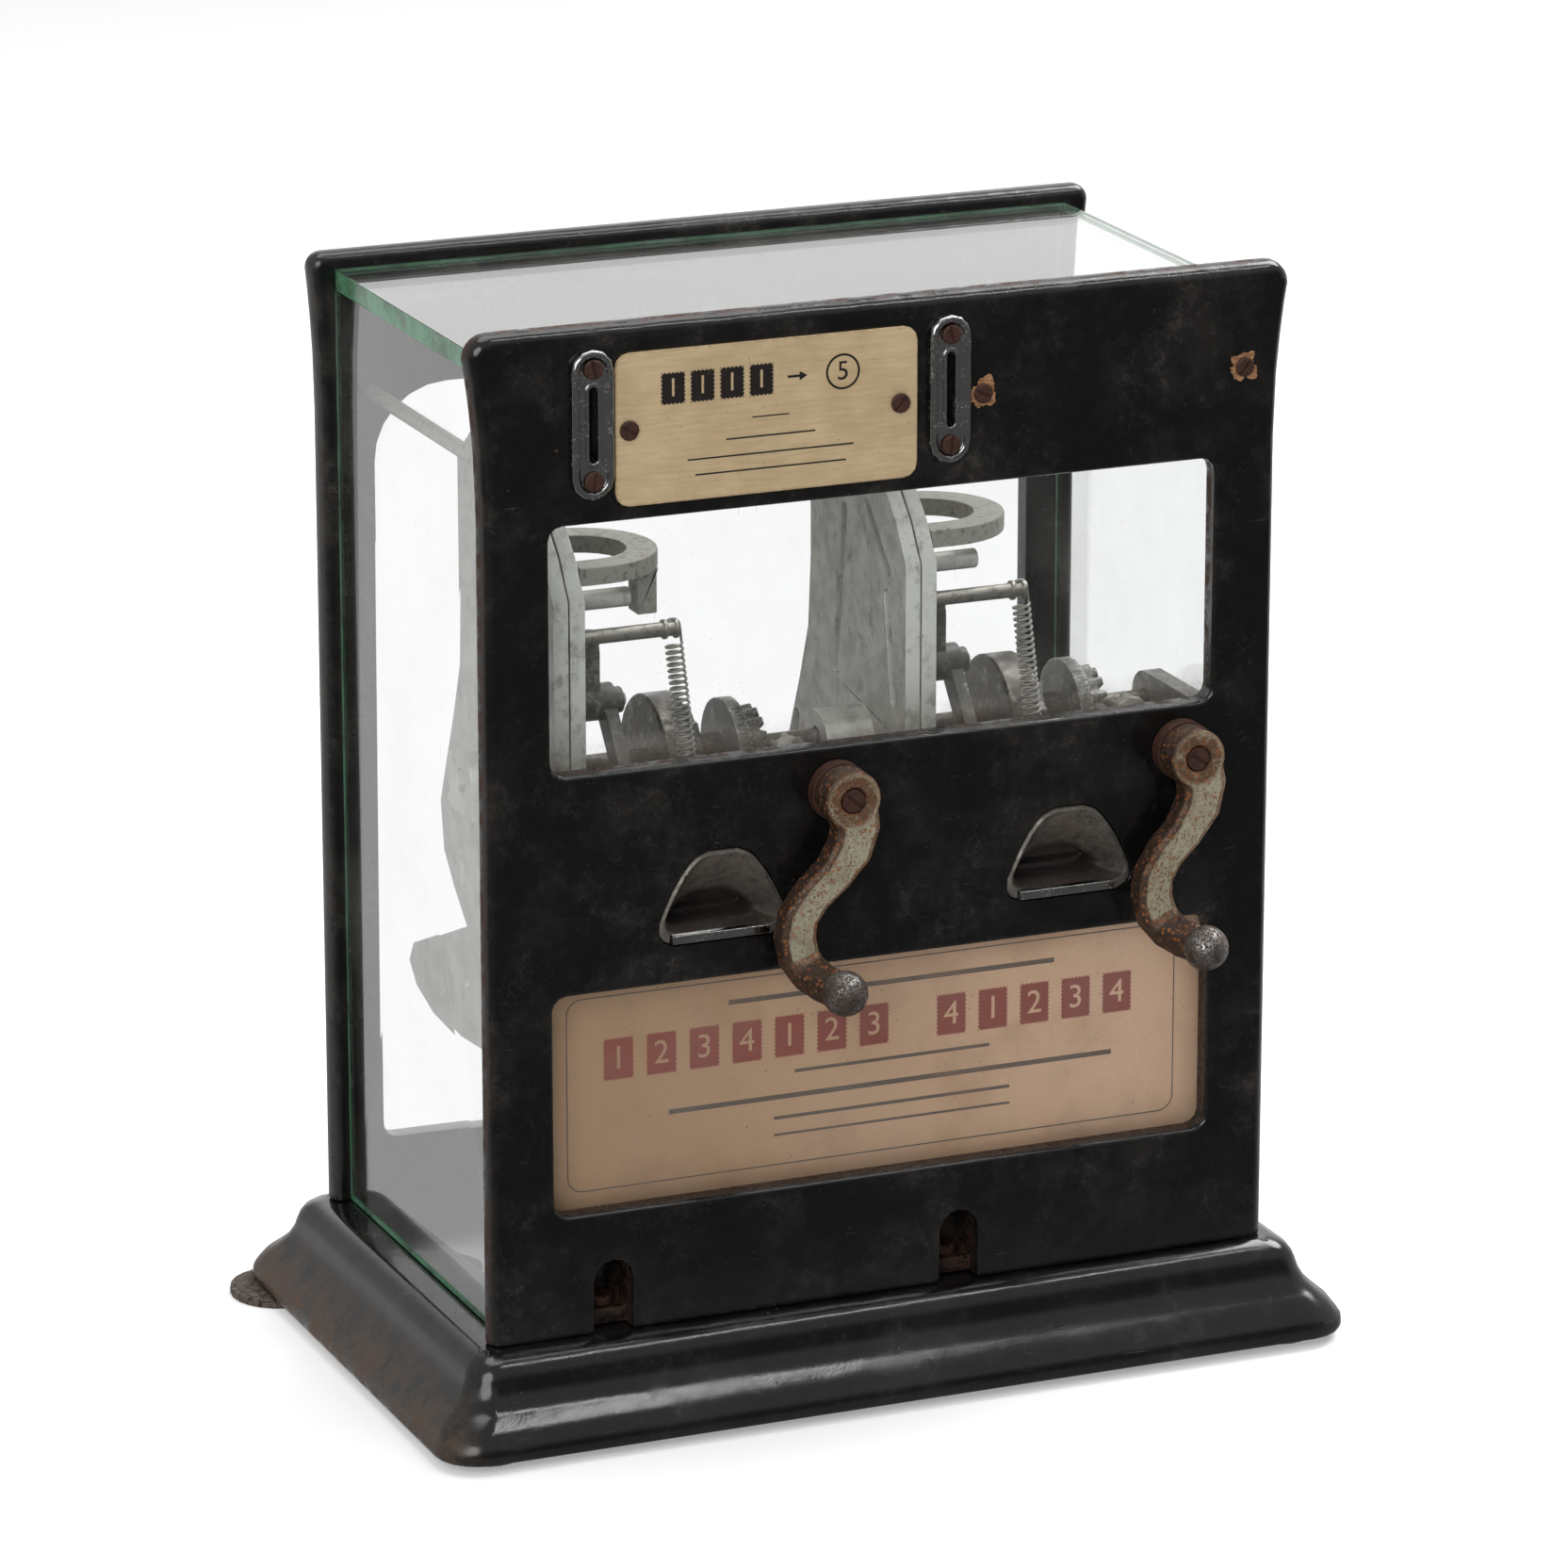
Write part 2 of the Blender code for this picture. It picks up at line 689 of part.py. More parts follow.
def window_cutter(name, bottom, height):
    half = window_width / 2
    outline = rounded_rectangle((-half, bottom), (half, bottom + height), window_corner)
    rings = [upright(grown(outline, window_chamfer + overrun), -overrun),
             upright(outline, window_chamfer),
             upright(outline, casting_depth + overrun)]
    return loft(name, rings)


def groove_cutters(name, low_y, high_y):
    """Cutters for the grooves that hold both side panes and the top pane."""
    outer = half_casting - pane_inset + fit_gap
    inner = half_casting - pane_inset - pane_thickness - fit_gap
    top_low = top_glass_height - top_glass_thickness - fit_gap
    return (box(name + "_left_groove", (-outer, low_y, casting_foot - overrun), (-inner, high_y, top_low)),
            box(name + "_right_groove", (inner, low_y, casting_foot - overrun), (outer, high_y, top_low)),
            box(name + "_top_groove", (-outer, low_y, top_low), (outer, high_y, top_glass_height + fit_gap)))


def notch_pocket(side, x):
    """A boss behind a notch, and the pocket in it that the base screw is driven from."""
    half = notch_width / 2
    foot = casting_foot + flange_height
    back = casting_depth + notch_boss_depth - notch_boss_wall
    boss = box("notch_boss_" + side, (x - notch_boss_width / 2, casting_depth - fit_gap, foot - fit_gap),
               (x + notch_boss_width / 2, casting_depth + notch_boss_depth, notch_height + notch_boss_wall))
    outline = [(x + half, casting_depth - 2 * fit_gap)] + arc((x, back - half), half, 0, 180, 8)
    outline.append((x - half, casting_depth - 2 * fit_gap))
    pocket = loft("notch_pocket_" + side, [[(across, deep, z) for across, deep in outline]
                                           for z in (foot, notch_height)])
    return boss, pocket


def build_front_casting():
    outline = casting_outline(casting_height, flare, casting_corner_radius)
    front = casting("front_casting", 0, outline, front_casting_round)
    cut(front, window_cutter("upper_window", upper_window_bottom, upper_window_height),
        window_cutter("lower_window", lower_window_bottom, lower_window_height),
        *groove_cutters("front", casting_depth - groove_depth, casting_depth + overrun))
    for side, unit_x in (("left", left_unit_x), ("right", left_unit_x + unit_pitch)):
        x = unit_x + notch_offset
        half = notch_width / 2
        notch = arc((x, notch_height - half), half, 0, 180, 6) + [(x - half, -overrun), (x + half, -overrun)]
        slot = stadium((unit_x, slot_height), slot_width + fit_gap, slot_length + fit_gap)
        hole = bush_radius + fit_gap
        start = (unit_x + crank_offset, -overrun, crank_height)
        cut(front, slab("notch_" + side, notch, -overrun, casting_depth + overrun, "XZ"),
            slab("coin_slot_" + side, slot, -overrun, casting_depth + overrun, "XZ"),
            rod("crank_hole_" + side, hole, start, casting_depth + overrun + overrun, "Y", sides=28),
            slab("outlet_hole_" + side, grown(outlet_outline(unit_x), fit_gap), -overrun,
                 casting_depth + overrun, "XZ"))
        for row, place_x, z in screw_places(unit_x):
            cut(front, screw_hole("hole_" + row + "_" + side, place_x, 0, z))
    reach = half_casting - flange_end_inset
    join(front, box("front_flange", (-reach, casting_depth - fit_gap, casting_foot),
                    (reach, casting_depth + flange_depth, casting_foot + flange_height)))
    for side, unit_x in (("left", left_unit_x), ("right", left_unit_x + unit_pitch)):
        boss, pocket = notch_pocket(side, unit_x + notch_offset)
        join(front, boss)
        cut(front, pocket)
        start = (unit_x + notch_offset, base_screw_y, casting_foot - overrun)
        cut(front, rod("flange_hole_" + side, base_screw_shank_radius + fit_gap, start,
                       flange_height + overrun + overrun, "Z", sides=16))
    for side in (-1, 1):
        start = (side * (half_casting - tie_rod_inset), casting_depth - tie_rod_sink, tie_rod_height)
        cut(front, rod("tie_hole_front_" + str(side), tie_rod_radius + fit_gap, start,
                       tie_rod_sink + overrun, "Y", sides=16))


def screw_places(unit_x):
    """Every small screw of a unit: its row, its x and its height."""
    half = coin_screw_spacing / 2
    near = price_screw_offset - price_screw_spacing / 2
    far = price_screw_offset + price_screw_spacing / 2
    return (("top", unit_x, slot_height + half), ("bottom", unit_x, slot_height - half),
            ("near", unit_x + near, price_plate_z), ("far", unit_x + far, price_plate_z))


def build_back_casting():
    outline = casting_outline(casting_height - back_casting_drop, back_flare, back_corner_radius)
    back = casting("back_casting", back_casting_y, outline, back_casting_round)
    low = (rear_opening_inset - half_casting, rear_opening_bottom)
    high = (half_casting - rear_opening_inset, rear_opening_top)
    opening = rounded_rectangle(low, high, rear_opening_corner, rear_opening_foot_corner, 6)
    cut(back, slab("rear_opening", opening, back_casting_y - overrun, case_depth + overrun, "XZ"),
        *groove_cutters("back", back_casting_y - overrun, back_casting_y + groove_depth))
    for side in (-1, 1):
        start = (side * (half_casting - tie_rod_inset), back_casting_y - overrun, tie_rod_height)
        cut(back, rod("tie_hole_back_" + str(side), tie_rod_radius + fit_gap, start,
                      casting_depth + overrun + overrun, "Y", sides=16))


def build_tie_rods():
    """Each rod has its nut end at the rear and stands in a blind hole at the front."""
    for side, x in (("left", tie_rod_inset - half_casting), ("right", half_casting - tie_rod_inset)):
        start = casting_depth - tie_rod_sink + fit_gap
        length = case_depth + fit_gap + tie_nut_length - start
        nut = length - tie_nut_length
        profile = [(0, length), (tie_nut_radius, length), (tie_nut_radius, nut), (tie_rod_radius, nut),
                   (tie_rod_radius, 0), (0, 0)]
        turned("tie_rod_" + side, profile, (x, start, tie_rod_height), "Y", "dull_steel", 16)


# Panes


def build_panes():
    outer = half_casting - pane_inset
    inner = outer - pane_thickness
    low_y = casting_depth - groove_depth + fit_gap
    high_y = back_casting_y + groove_depth - fit_gap
    top_low = top_glass_height - top_glass_thickness
    box("left_glass", (-outer, low_y, casting_foot), (-inner, high_y, top_low - fit_gap), "case_glass")
    box("right_glass", (inner, low_y, casting_foot), (outer, high_y, top_low - fit_gap), "case_glass")
    box("top_glass", (-outer, low_y, top_low), (outer, high_y, top_glass_height), "case_glass")
    reach = window_width / 2 + window_glass_lap
    window_low = upper_window_bottom - window_glass_lap
    window_high = upper_window_bottom + upper_window_height + window_glass_lap
    box("window_glass", (-reach, inner_face, window_low),
        (reach, inner_face + window_glass_thickness, window_high), "case_glass")
    sign_low = lower_window_bottom - sign_glass_lap
    sign_high = lower_window_bottom + lower_window_height + sign_glass_lap
    layers = (("sign_glass", sign_glass_thickness, "case_glass"), ("sign_card", card_thickness, "card"),
              ("sign_backing", backing_thickness, "rusty_steel"))
    y = inner_face
    for name, thickness, finish in layers:
        box(name, (-reach, y, sign_low), (reach, y + thickness, sign_high), finish)
        y += thickness + fit_gap


# Front plates


def build_price_plate():
    x = left_unit_x + price_plate_offset
    half_width = price_plate_width / 2
    half_height = price_plate_height / 2
    outline = rounded_rectangle((x - half_width, price_plate_z - half_height),
                                (x + half_width, price_plate_z + half_height), price_plate_corner)
    plate = slab("price_plate", outline, -fit_gap - price_plate_thickness, -fit_gap, "XZ", "tan_plate")
    head_back = -fit_gap - price_plate_thickness - fit_gap
    names = {"near": "left", "far": "right"}
    for unit_x, kind, back in ((left_unit_x, "price_plate_screw_", head_back),
                               (left_unit_x + unit_pitch, "spare_screw_", -fit_gap)):
        for row, place_x, z in screw_places(unit_x)[2:]:
            small_screw(kind + names[row], place_x, back, z, math.radians(25 if row == "near" else -50))
            if unit_x == left_unit_x:
                cut(plate, screw_hole("plate_hole_" + row, place_x, -fit_gap - price_plate_thickness, z))


def build_coin_plate(side, unit_x):
    outline = stadium((unit_x, slot_height), coin_plate_width, coin_plate_length)
    back = -fit_gap
    front = back - coin_plate_thickness
    floor = front + coin_plate_recess
    rim = coin_plate_bevel + coin_plate_rim
    rings = [upright(outline, back), upright(outline, front + coin_plate_bevel),
             upright(grown(outline, -coin_plate_bevel), front), upright(grown(outline, -rim), front),
             upright(grown(outline, -rim - coin_plate_bevel), floor)]
    plate = loft("coin_plate_" + side, rings, "worn_chrome")
    lips = stadium((unit_x, slot_height), slot_width + 2 * coin_lip, slot_length + 2 * coin_lip)
    lip_front = front + coin_plate_recess / 3
    join(plate, slab("coin_lips_" + side, lips, lip_front, floor + coin_plate_recess, "XZ"))
    slot = stadium((unit_x, slot_height), slot_width, slot_length)
    cut(plate, slab("plate_slot_" + side, slot, front - overrun, back + overrun, "XZ"))
    for row, x, z in screw_places(unit_x)[:2]:
        cut(plate, screw_hole("coin_plate_hole_" + row + "_" + side, x, front, z))
        small_screw("coin_plate_screw_" + row + "_" + side, x, floor - fit_gap, z,
                    math.radians(75 if row == "top" else 100))


def outlet_outline(unit_x, wide=1, high=1, lift=0):
    """The trapezoid of the stamp outlet, scaled across and upwards and lifted by shares of itself."""
    x = unit_x + outlet_offset
    right = [(outlet_width / 2 * share * wide, outlet_bottom + outlet_height * (up * high + lift))
             for share, up in outlet_shares]
    return [(x + across, up) for across, up in right] + [(x - across, up) for across, up in reversed(right)]


def strip_guide(side, unit_x):
    """A plate behind the throat that slopes up towards the drum and leads the strip down to the mouth."""
    floor = outlet_bottom + outlet_height * throat_shares[2]
    thick = strip_guide_thickness
    top_y = outlet_reach + strip_guide_rise
    top_z = floor + strip_guide_rise
    outline = [(outlet_reach - 2 * thick, floor - thick / 2), (outlet_reach + thick / 2, floor - thick),
               (top_y + thick, top_z - thick), (top_y, top_z), (outlet_reach - fit_gap, floor - fit_gap)]
    x = unit_x + outlet_offset
    return slab("strip_guide_" + side, outline, x - strip_guide_width / 2, x + strip_guide_width / 2, "YZ")


def build_outlet(side, unit_x):
    outline = outlet_outline(unit_x)
    flange_back = inner_face + outlet_flange_depth
    flange = grown(outline, outlet_flange)
    neck = grown(outline, -outlet_round)
    rings = [upright(neck, -outlet_proud), upright(outline, outlet_round - outlet_proud),
             upright(outline, inner_face), upright(flange, inner_face), upright(flange, flange_back),
             upright(neck, flange_back), upright(grown(outline, -outlet_taper), outlet_reach)]
    body = loft("outlet_" + side, rings, "worn_nickel")
    mouth = outlet_outline(unit_x, *mouth_shares)
    throat = outlet_outline(unit_x, *throat_shares)
    funnel = [upright(mouth, -overrun), upright(mouth, 0), upright(throat, outlet_slot_depth),
              upright(throat, outlet_reach + overrun)]
    low_x = unit_x + outlet_offset - tear_bar_shift - tear_bar_length / 2
    high_x = low_x + tear_bar_length
    low_z = outlet_bottom + tear_bar_rise
    high_z = low_z + tear_bar_height
    back = tear_bar_depth - tear_bar_proud
    seat = box("tear_bar_seat_" + side, (low_x - fit_gap, -overrun, low_z - fit_gap),
               (high_x + fit_gap, back + fit_gap, high_z + fit_gap + overrun))
    join(body, strip_guide(side, unit_x))
    cut(body, loft("outlet_funnel_" + side, funnel), seat)
    box("tear_bar_" + side, (low_x, -tear_bar_proud, low_z), (high_x, back, high_z), "worn_chrome")


# Crank


def build_bush(side, x):
    flange_front = -fit_gap - bush_flange_depth
    bore = crank_shaft_radius + fit_gap
    profile = [(bore, bush_length), (bush_radius, bush_length), (bush_radius, -fit_gap),
               (bush_flange_radius, -fit_gap), (bush_flange_radius, flange_front), (bore, flange_front)]
    turned("crank_bush_" + side, profile, (x, 0, crank_height), "Y", "dull_steel", 24, True)


def arm_section(centre, aside, forward, wide, thick):
    """An eight-sided section with its corners taken off."""
    half_wide = wide / 2
    half_thick = thick / 2
    corners = ((1, section_corner), (section_corner, 1), (-section_corner, 1), (-1, section_corner),
               (-1, -section_corner), (-section_corner, -1), (section_corner, -1), (1, -section_corner))
    return [centre + aside * half_wide * across + forward * half_thick * front for across, front in corners]


def build_crank_arm(side, x, turn):
    spin = Matrix.Rotation(turn, 3, "Y")
    hub = Vector((x, arm_middle, crank_height))
    centres = [hub + spin @ Vector((crank_throw * across, -knob_reach * forward, crank_throw * up))
               for across, up, forward, wide, thick in arm_shares]
    aside = spin @ Vector((1, 0, 0))
    rings = []
    for index, centre in enumerate(centres):
        along = (centres[min(index + 1, len(centres) - 1)] - centres[max(index - 1, 0)]).normalized()
        aside = (aside - along * aside.dot(along)).normalized()
        wide, thick = arm_shares[index][3:]
        rings.append(arm_section(centre, aside, aside.cross(along), arm_width * wide, arm_thickness * thick))
    knob = hub + spin @ Vector((-crank_throw * knob_share, -knob_reach, -crank_throw))
    arm = rod("crank_arm_" + side, arm_hub_radius, (x, arm_front, crank_height), arm_thickness, "Y",
              "worn_nickel", 28)
    join(arm, loft("crank_sweep_" + side, rings), ball("crank_knob_" + side, knob_radius, knob, 16))
    counterbore = rod("crank_counterbore_" + side, crank_screw_radius + fit_gap,
                      (x, arm_front - overrun, crank_height), overrun + crank_screw_head + fit_gap, "Y")
    through = rod("crank_through_" + side, screw_shank_radius + fit_gap, (x, arm_front, crank_height),
                  arm_thickness, "Y", sides=12)
    socket = rod("crank_socket_" + side, crank_shaft_radius + fit_gap,
                 (x, arm_back - shaft_socket - fit_gap, crank_height), shaft_socket + fit_gap + overrun, "Y")
    return cut(arm, counterbore, through, socket)


def build_crank_screw(side, x, turn):
    head_back = arm_front + crank_screw_head
    head = crank_screw_radius
    profile = [(0, crank_screw_shank), (screw_shank_radius, crank_screw_shank), (screw_shank_radius, 0),
               (head, 0), (head, -crank_screw_head), (0, -crank_screw_head)]
    name = "crank_screw_" + side
    piece = turned(name, profile, (x, head_back, crank_height), "Y", "rusty_steel", 20)
    groove = box(name + "_groove", (-head - overrun, -crank_screw_head - overrun, -screw_cut_width / 2),
                 (head + overrun, screw_cut_depth - crank_screw_head, screw_cut_width / 2))
    groove.matrix_basis = Matrix.Translation((x, head_back, crank_height)) @ Matrix.Rotation(turn, 4, "Y")
    return cut(piece, groove)


def toothed_ring(teeth, cone_radius, cone_distance, share, phase):
    """Angle, radius and distance from the apex for every point of a bevel gear's toothed ring."""
    slant = math.hypot(cone_radius, cone_distance)
    points = []
    for tooth in range(teeth):
        for part in tooth_shares:
            on_tip = abs(part) < min(map(abs, tooth_shares)) + tooth_share_margin
            lift = tooth_tip_height if on_tip else -tooth_root_depth
            lift *= share
            angle = (tooth + part + phase) * math.tau / teeth
            radius = cone_radius * share + lift * cone_distance / slant
            distance = cone_distance * share - lift * cone_radius / slant
            points.append((angle, radius, distance))
    return points


def build_crank_shaft(side, x):
    """The crank's shaft with the bevel pinion on its end; the pinion's teeth start at -X."""
    count = pinion_teeth * len(tooth_shares)
    angles = [point[0] for point in toothed_ring(pinion_teeth, 1, 1, 1, 0)]
    front = arm_back - shaft_socket
    pitch_y = shaft_y - gear_pitch_radius

    def circle(radius, y):
        return [(x - radius * math.cos(angle), y, crank_height + radius * math.sin(angle))
                for angle in angles]

    def teeth(share):
        ring = toothed_ring(pinion_teeth, pinion_pitch_radius, gear_pitch_radius, share, 0)
        return [(x - radius * math.cos(angle), shaft_y - distance, crank_height + radius * math.sin(angle))
                for angle, radius, distance in ring]

    back_y = pitch_y - pinion_back_length
    core = pinion_pitch_radius * bevel_inner_share - tooth_root_depth
    rings = [circle(crank_shaft_radius, front), circle(crank_shaft_radius, back_y - tooth_root_depth),
             circle(pinion_back_radius, back_y), circle(pinion_back_radius, pitch_y - tooth_root_depth),
             teeth(1), teeth(bevel_inner_share),
             circle(core, shaft_y - gear_pitch_radius * bevel_inner_share + tooth_tip_height / 2)]
    assert all(len(ring) == count for ring in rings)
    shaft = loft("crank_shaft_" + side, rings, "dull_steel")
    return cut(shaft, rod("crank_shaft_bore_" + side, screw_shank_radius + fit_gap,
                          (x, front - overrun, crank_height), overrun + crank_screw_shank, "Y", sides=12))


# Feed train


def around_x(radii, x):
    """Ring of points round the feed shaft; the first one points forward."""
    count = len(radii)
    return [(x, shaft_y - radius * math.cos(math.tau * index / count),
             shaft_z + radius * math.sin(math.tau * index / count)) for index, radius in enumerate(radii)]


def build_feed_shaft(side, unit_x, end):
    length = end + shaft_start
    thin = shaft_radius - shaft_chamfer
    profile = [(0, length), (thin, length), (shaft_radius, length - shaft_chamfer),
               (shaft_radius, shaft_chamfer), (thin, 0), (0, 0)]
    start = (unit_x - shaft_start, shaft_y, shaft_z)
    return turned("feed_shaft_" + side, profile, start, "X", "dull_steel", 20)


def build_feed_drum(side, unit_x):
    count = ratchet_teeth * 3
    start = unit_x + drum_start
    end = start + drum_width
    ratchet_end = end + ratchet_width
    rise = ratchet_radius - ratchet_root
    teeth = [ratchet_root + rise * (0, 0.55, 1)[index % 3] for index in range(count)]
    rings = [around_x([drum_radius - drum_chamfer] * count, start),
             around_x([drum_radius] * count, start + drum_chamfer),
             around_x([drum_radius] * count, end), around_x(teeth, end), around_x(teeth, ratchet_end),
             around_x([drum_hub_radius] * count, ratchet_end),
             around_x([drum_hub_radius] * count, unit_x + drum_hub_end)]
    drum = loft("feed_drum_" + side, rings, "dull_steel")
    return cut(drum, rod("drum_bore_" + side, shaft_radius + fit_gap, (start - overrun, shaft_y, shaft_z),
                         drum_hub_end - drum_start + overrun + overrun, "X"))


def build_bevel_gear(side, unit_x):
    count = gear_teeth * len(tooth_shares)
    apex = unit_x + crank_offset
    angles = [point[0] for point in toothed_ring(gear_teeth, 1, 1, 1, 0.5)]

    def circle(radius, x):
        return [(x, shaft_y - radius * math.cos(angle), shaft_z + radius * math.sin(angle))
                for angle in angles]

    def teeth(share):
        ring = toothed_ring(gear_teeth, gear_pitch_radius, pinion_pitch_radius, share, 0.5)
        return [(apex - distance, shaft_y - radius * math.cos(angle), shaft_z + radius * math.sin(angle))
                for angle, radius, distance in ring]

    start = unit_x + gear_disc_start
    end = start + gear_disc_width
    rings = [circle(gear_disc_radius, start), circle(gear_disc_radius, end), circle(gear_pitch_radius, end),
             teeth(1), teeth(bevel_inner_share),
             circle(drum_hub_radius, apex - pinion_pitch_radius * bevel_inner_share - tooth_root_depth)]
    assert all(len(ring) == count for ring in rings)
    gear = loft("bevel_gear_" + side, rings, "pot_metal")
    return cut(gear, rod("gear_bore_" + side, shaft_radius + fit_gap, (start - overrun, shaft_y, shaft_z),
                         crank_offset - gear_disc_start + overrun, "X"))


def build_bracket():
    start = left_unit_x + unit_pitch + bracket_start
    end = left_unit_x + unit_pitch + right_shaft_end
    eye = arc((shaft_y, shaft_z), bracket_radius, -100, 100, 10)
    outline = [(inner_face, bracket_foot_bottom), (inner_face + bracket_foot_depth, bracket_foot_bottom)]
    outline += eye + [(inner_face + bracket_foot_depth, bracket_foot_top), (inner_face, bracket_foot_top)]
    bracket = slab("shaft_bracket_right", outline, start, end, "YZ", "pot_metal")
    cut(bracket, rod("bracket_bore", shaft_radius + fit_gap, (start - overrun, shaft_y, shaft_z),
                     end - start + overrun + overrun, "X"))


# Chutes, magnet, post, lever and spring


def chute_points(shares):
    return [(inner_face + (chute_back - inner_face) * back, chute_top * up) for back, up in shares]


def build_chutes(side, unit_x):
    outline = chute_points(chute_shares)
    half = chute_thickness / 2
    seam = fit_gap / 2
    inner = slab("chute_inner_" + side, outline, unit_x - half, unit_x - seam, "YZ", "pot_metal")
    for number, shares in enumerate(chute_slot_shares):
        name = "chute_window_" + side + str(number)
        cut(inner, slab(name, ribbon(chute_points(shares), chute_slot_width), unit_x - half - overrun,
                        unit_x + overrun, "YZ"))
    boss_half = boss_width / 2
    boss = arc((shaft_y, shaft_z), boss_half, 0, 180, 10)
    boss += [(shaft_y - boss_half, shaft_z - boss_foot), (shaft_y + boss_half, shaft_z - boss_foot)]
    boss_start = unit_x - half - boss_length
    join(inner, slab("bearing_boss_" + side, boss, boss_start, unit_x - half + fit_gap, "YZ"))
    outer = slab("chute_outer_" + side, outline, unit_x + seam, unit_x + half, "YZ", "pot_metal")
    channel = ribbon(chute_points(coin_path_shares), channel_width)
    cut(outer, slab("coin_channel_" + side, channel, unit_x - overrun, unit_x + seam + channel_depth, "YZ"))
    join(outer, rod("magnet_stud_" + side, stud_radius, (unit_x + half - fit_gap, stud_y, stud_z),
                    stud_length, "X", sides=16),
         rod("lever_stud_" + side, lever_stud_radius, (unit_x + half - fit_gap, lever_y, lever_z),
             lever_stud_end - half + fit_gap, "X", sides=16))
    bore_start = (boss_start - overrun, shaft_y, shaft_z)
    bore = rod("chute_bore_" + side, shaft_radius + fit_gap, bore_start,
               boss_length + chute_thickness + overrun + overrun, "X")
    cut(inner, bore)
    cut(outer, bore)


def build_magnet(side, unit_x):
    """The horseshoe's open end stands against the chute."""
    end = unit_x + chute_thickness / 2 + fit_gap
    centre = (end + magnet_straight, magnet_y)
    inner = magnet_radius - magnet_arm
    outline = [(end, magnet_y - magnet_radius)] + arc(centre, magnet_radius, -90, 90, 16)
    outline += [(end, magnet_y + magnet_radius), (end, magnet_y + inner)]
    outline += arc(centre, inner, 90, -90, 12) + [(end, magnet_y - inner)]
    magnet = slab("slug_magnet_" + side, outline, magnet_z, magnet_z + magnet_thickness, "XY", "dull_steel")
    if side == "left":
        x = unit_x + magnet_clip_offset
        low = (x - magnet_clip_width / 2, stud_y - magnet_clip_length / 2, magnet_z - magnet_clip_drop)
        high = (x + magnet_clip_width / 2, stud_y + magnet_clip_length / 2, magnet_z + fit_gap)
        join(magnet, box("magnet_clip", low, high))


def build_post(side, unit_x):
    start = chute_thickness / 2 + fit_gap
    end = post_end - start
    outer = end - post_collar_length
    groove = outer - 2 * spring_hook_gap - 4 * spring_wire_radius
    inner = groove - post_collar_length
    profile = [(0, end), (post_collar_radius, end), (post_collar_radius, outer), (post_radius, outer),
               (post_radius, groove), (post_collar_radius, groove), (post_collar_radius, inner),
               (post_radius, inner), (post_radius, 0), (0, 0)]
    turned("spring_post_" + side, profile, (unit_x + start, post_y, post_z), "X", "dull_steel", 16)


def build_lever(side, unit_x):
    start = unit_x + chute_thickness / 2 + fit_gap
    bore = lever_stud_radius + fit_gap
    lever = rod("coin_lever_" + side, lever_hub_radius, (start, lever_y, lever_z),
                unit_x + lever_hub_end - start, "X", "pot_metal", 24)
    ring = rod("lever_ring_" + side, lever_ring_radius, (start, lever_y, lever_z),
               unit_x + lever_ring_end - start, "X")
    arm_start = unit_x + lever_arm_start
    arm = ribbon([(lever_y, lever_z), (lever_pin_y, lever_pin_z)], lever_arm_width, 8)
    horn = ribbon([(lever_y, lever_z), (lever_y, lever_z + horn_height)], lever_arm_width, 8)
    horn_x = unit_x + horn_start
    knob = ball("lever_knob_" + side, horn_knob_radius, (horn_x + lever_arm_thickness / 2, lever_y,
                                                        lever_z + horn_height + horn_knob_radius), 10)
    join(lever, ring, slab("lever_arm_" + side, arm, arm_start, arm_start + lever_arm_thickness, "YZ"),
         slab("lever_horn_" + side, horn, horn_x, horn_x + lever_arm_thickness, "YZ"), knob,
         rod("lever_pin_" + side, lever_pin_radius, (arm_start + fit_gap, lever_pin_y, lever_pin_z),
             lever_pin_end - lever_arm_start - fit_gap, "X", sides=16))
    return cut(lever, rod("lever_bore_" + side, bore, (start - overrun, lever_y, lever_z),
                          lever_ring_end + overrun, "X", sides=16))


def spring_points(unit_x):
    """Centreline of the spring: a hook round the post, the curls, and a hook round the pin."""
    top = Vector((unit_x + spring_top_offset, post_y, post_z))
    bottom = Vector((unit_x + spring_bottom_offset, lever_pin_y, lever_pin_z))
    down = (bottom - top).normalized()
    back = Vector((0, 1, 0))
    right = back.cross(down).normalized()
    top_hook = post_radius + spring_hook_gap + spring_wire_radius
    bottom_hook = lever_pin_radius + spring_hook_gap + spring_wire_radius
    wire = spring_wire_radius * 2

    def hook(centre, radius, first, last):
        angles = [math.radians(first + (last - first) * step / (spring_hook_points - 1))
                  for step in range(spring_hook_points)]
        return [centre + (down * math.cos(angle) + back * math.sin(angle)) * radius for angle in angles]

    start = top_hook + spring_neck
    travel = (bottom - top).length - start - bottom_hook - spring_neck
    count = spring_turns * spring_turn_points
    curls = []
    for step in range(count + 1):
        angle = math.tau * step / spring_turn_points
        centre = top + down * (start + travel * step / count)
        curls.append(centre + (right * math.sin(angle) - back * math.cos(angle)) * spring_radius)
    first = hook(top, top_hook, 60, 300)
    last = hook(bottom, bottom_hook, 240, 480)
    lead = first[0] + (first[0] - first[1]).normalized() * wire
    tail = last[-1] + (last[-1] - last[-2]).normalized() * wire
    return [lead] + first + curls + last + [tail]


def least_gap(points):
    """Least distance between far parts of the wire, less the wire itself."""
    skip = spring_turn_points // 2
    pairs = ((points[one] - points[two]).length for one in range(len(points))
             for two in range(one + skip, len(points)))
    return min(pairs) - spring_wire_radius * 2


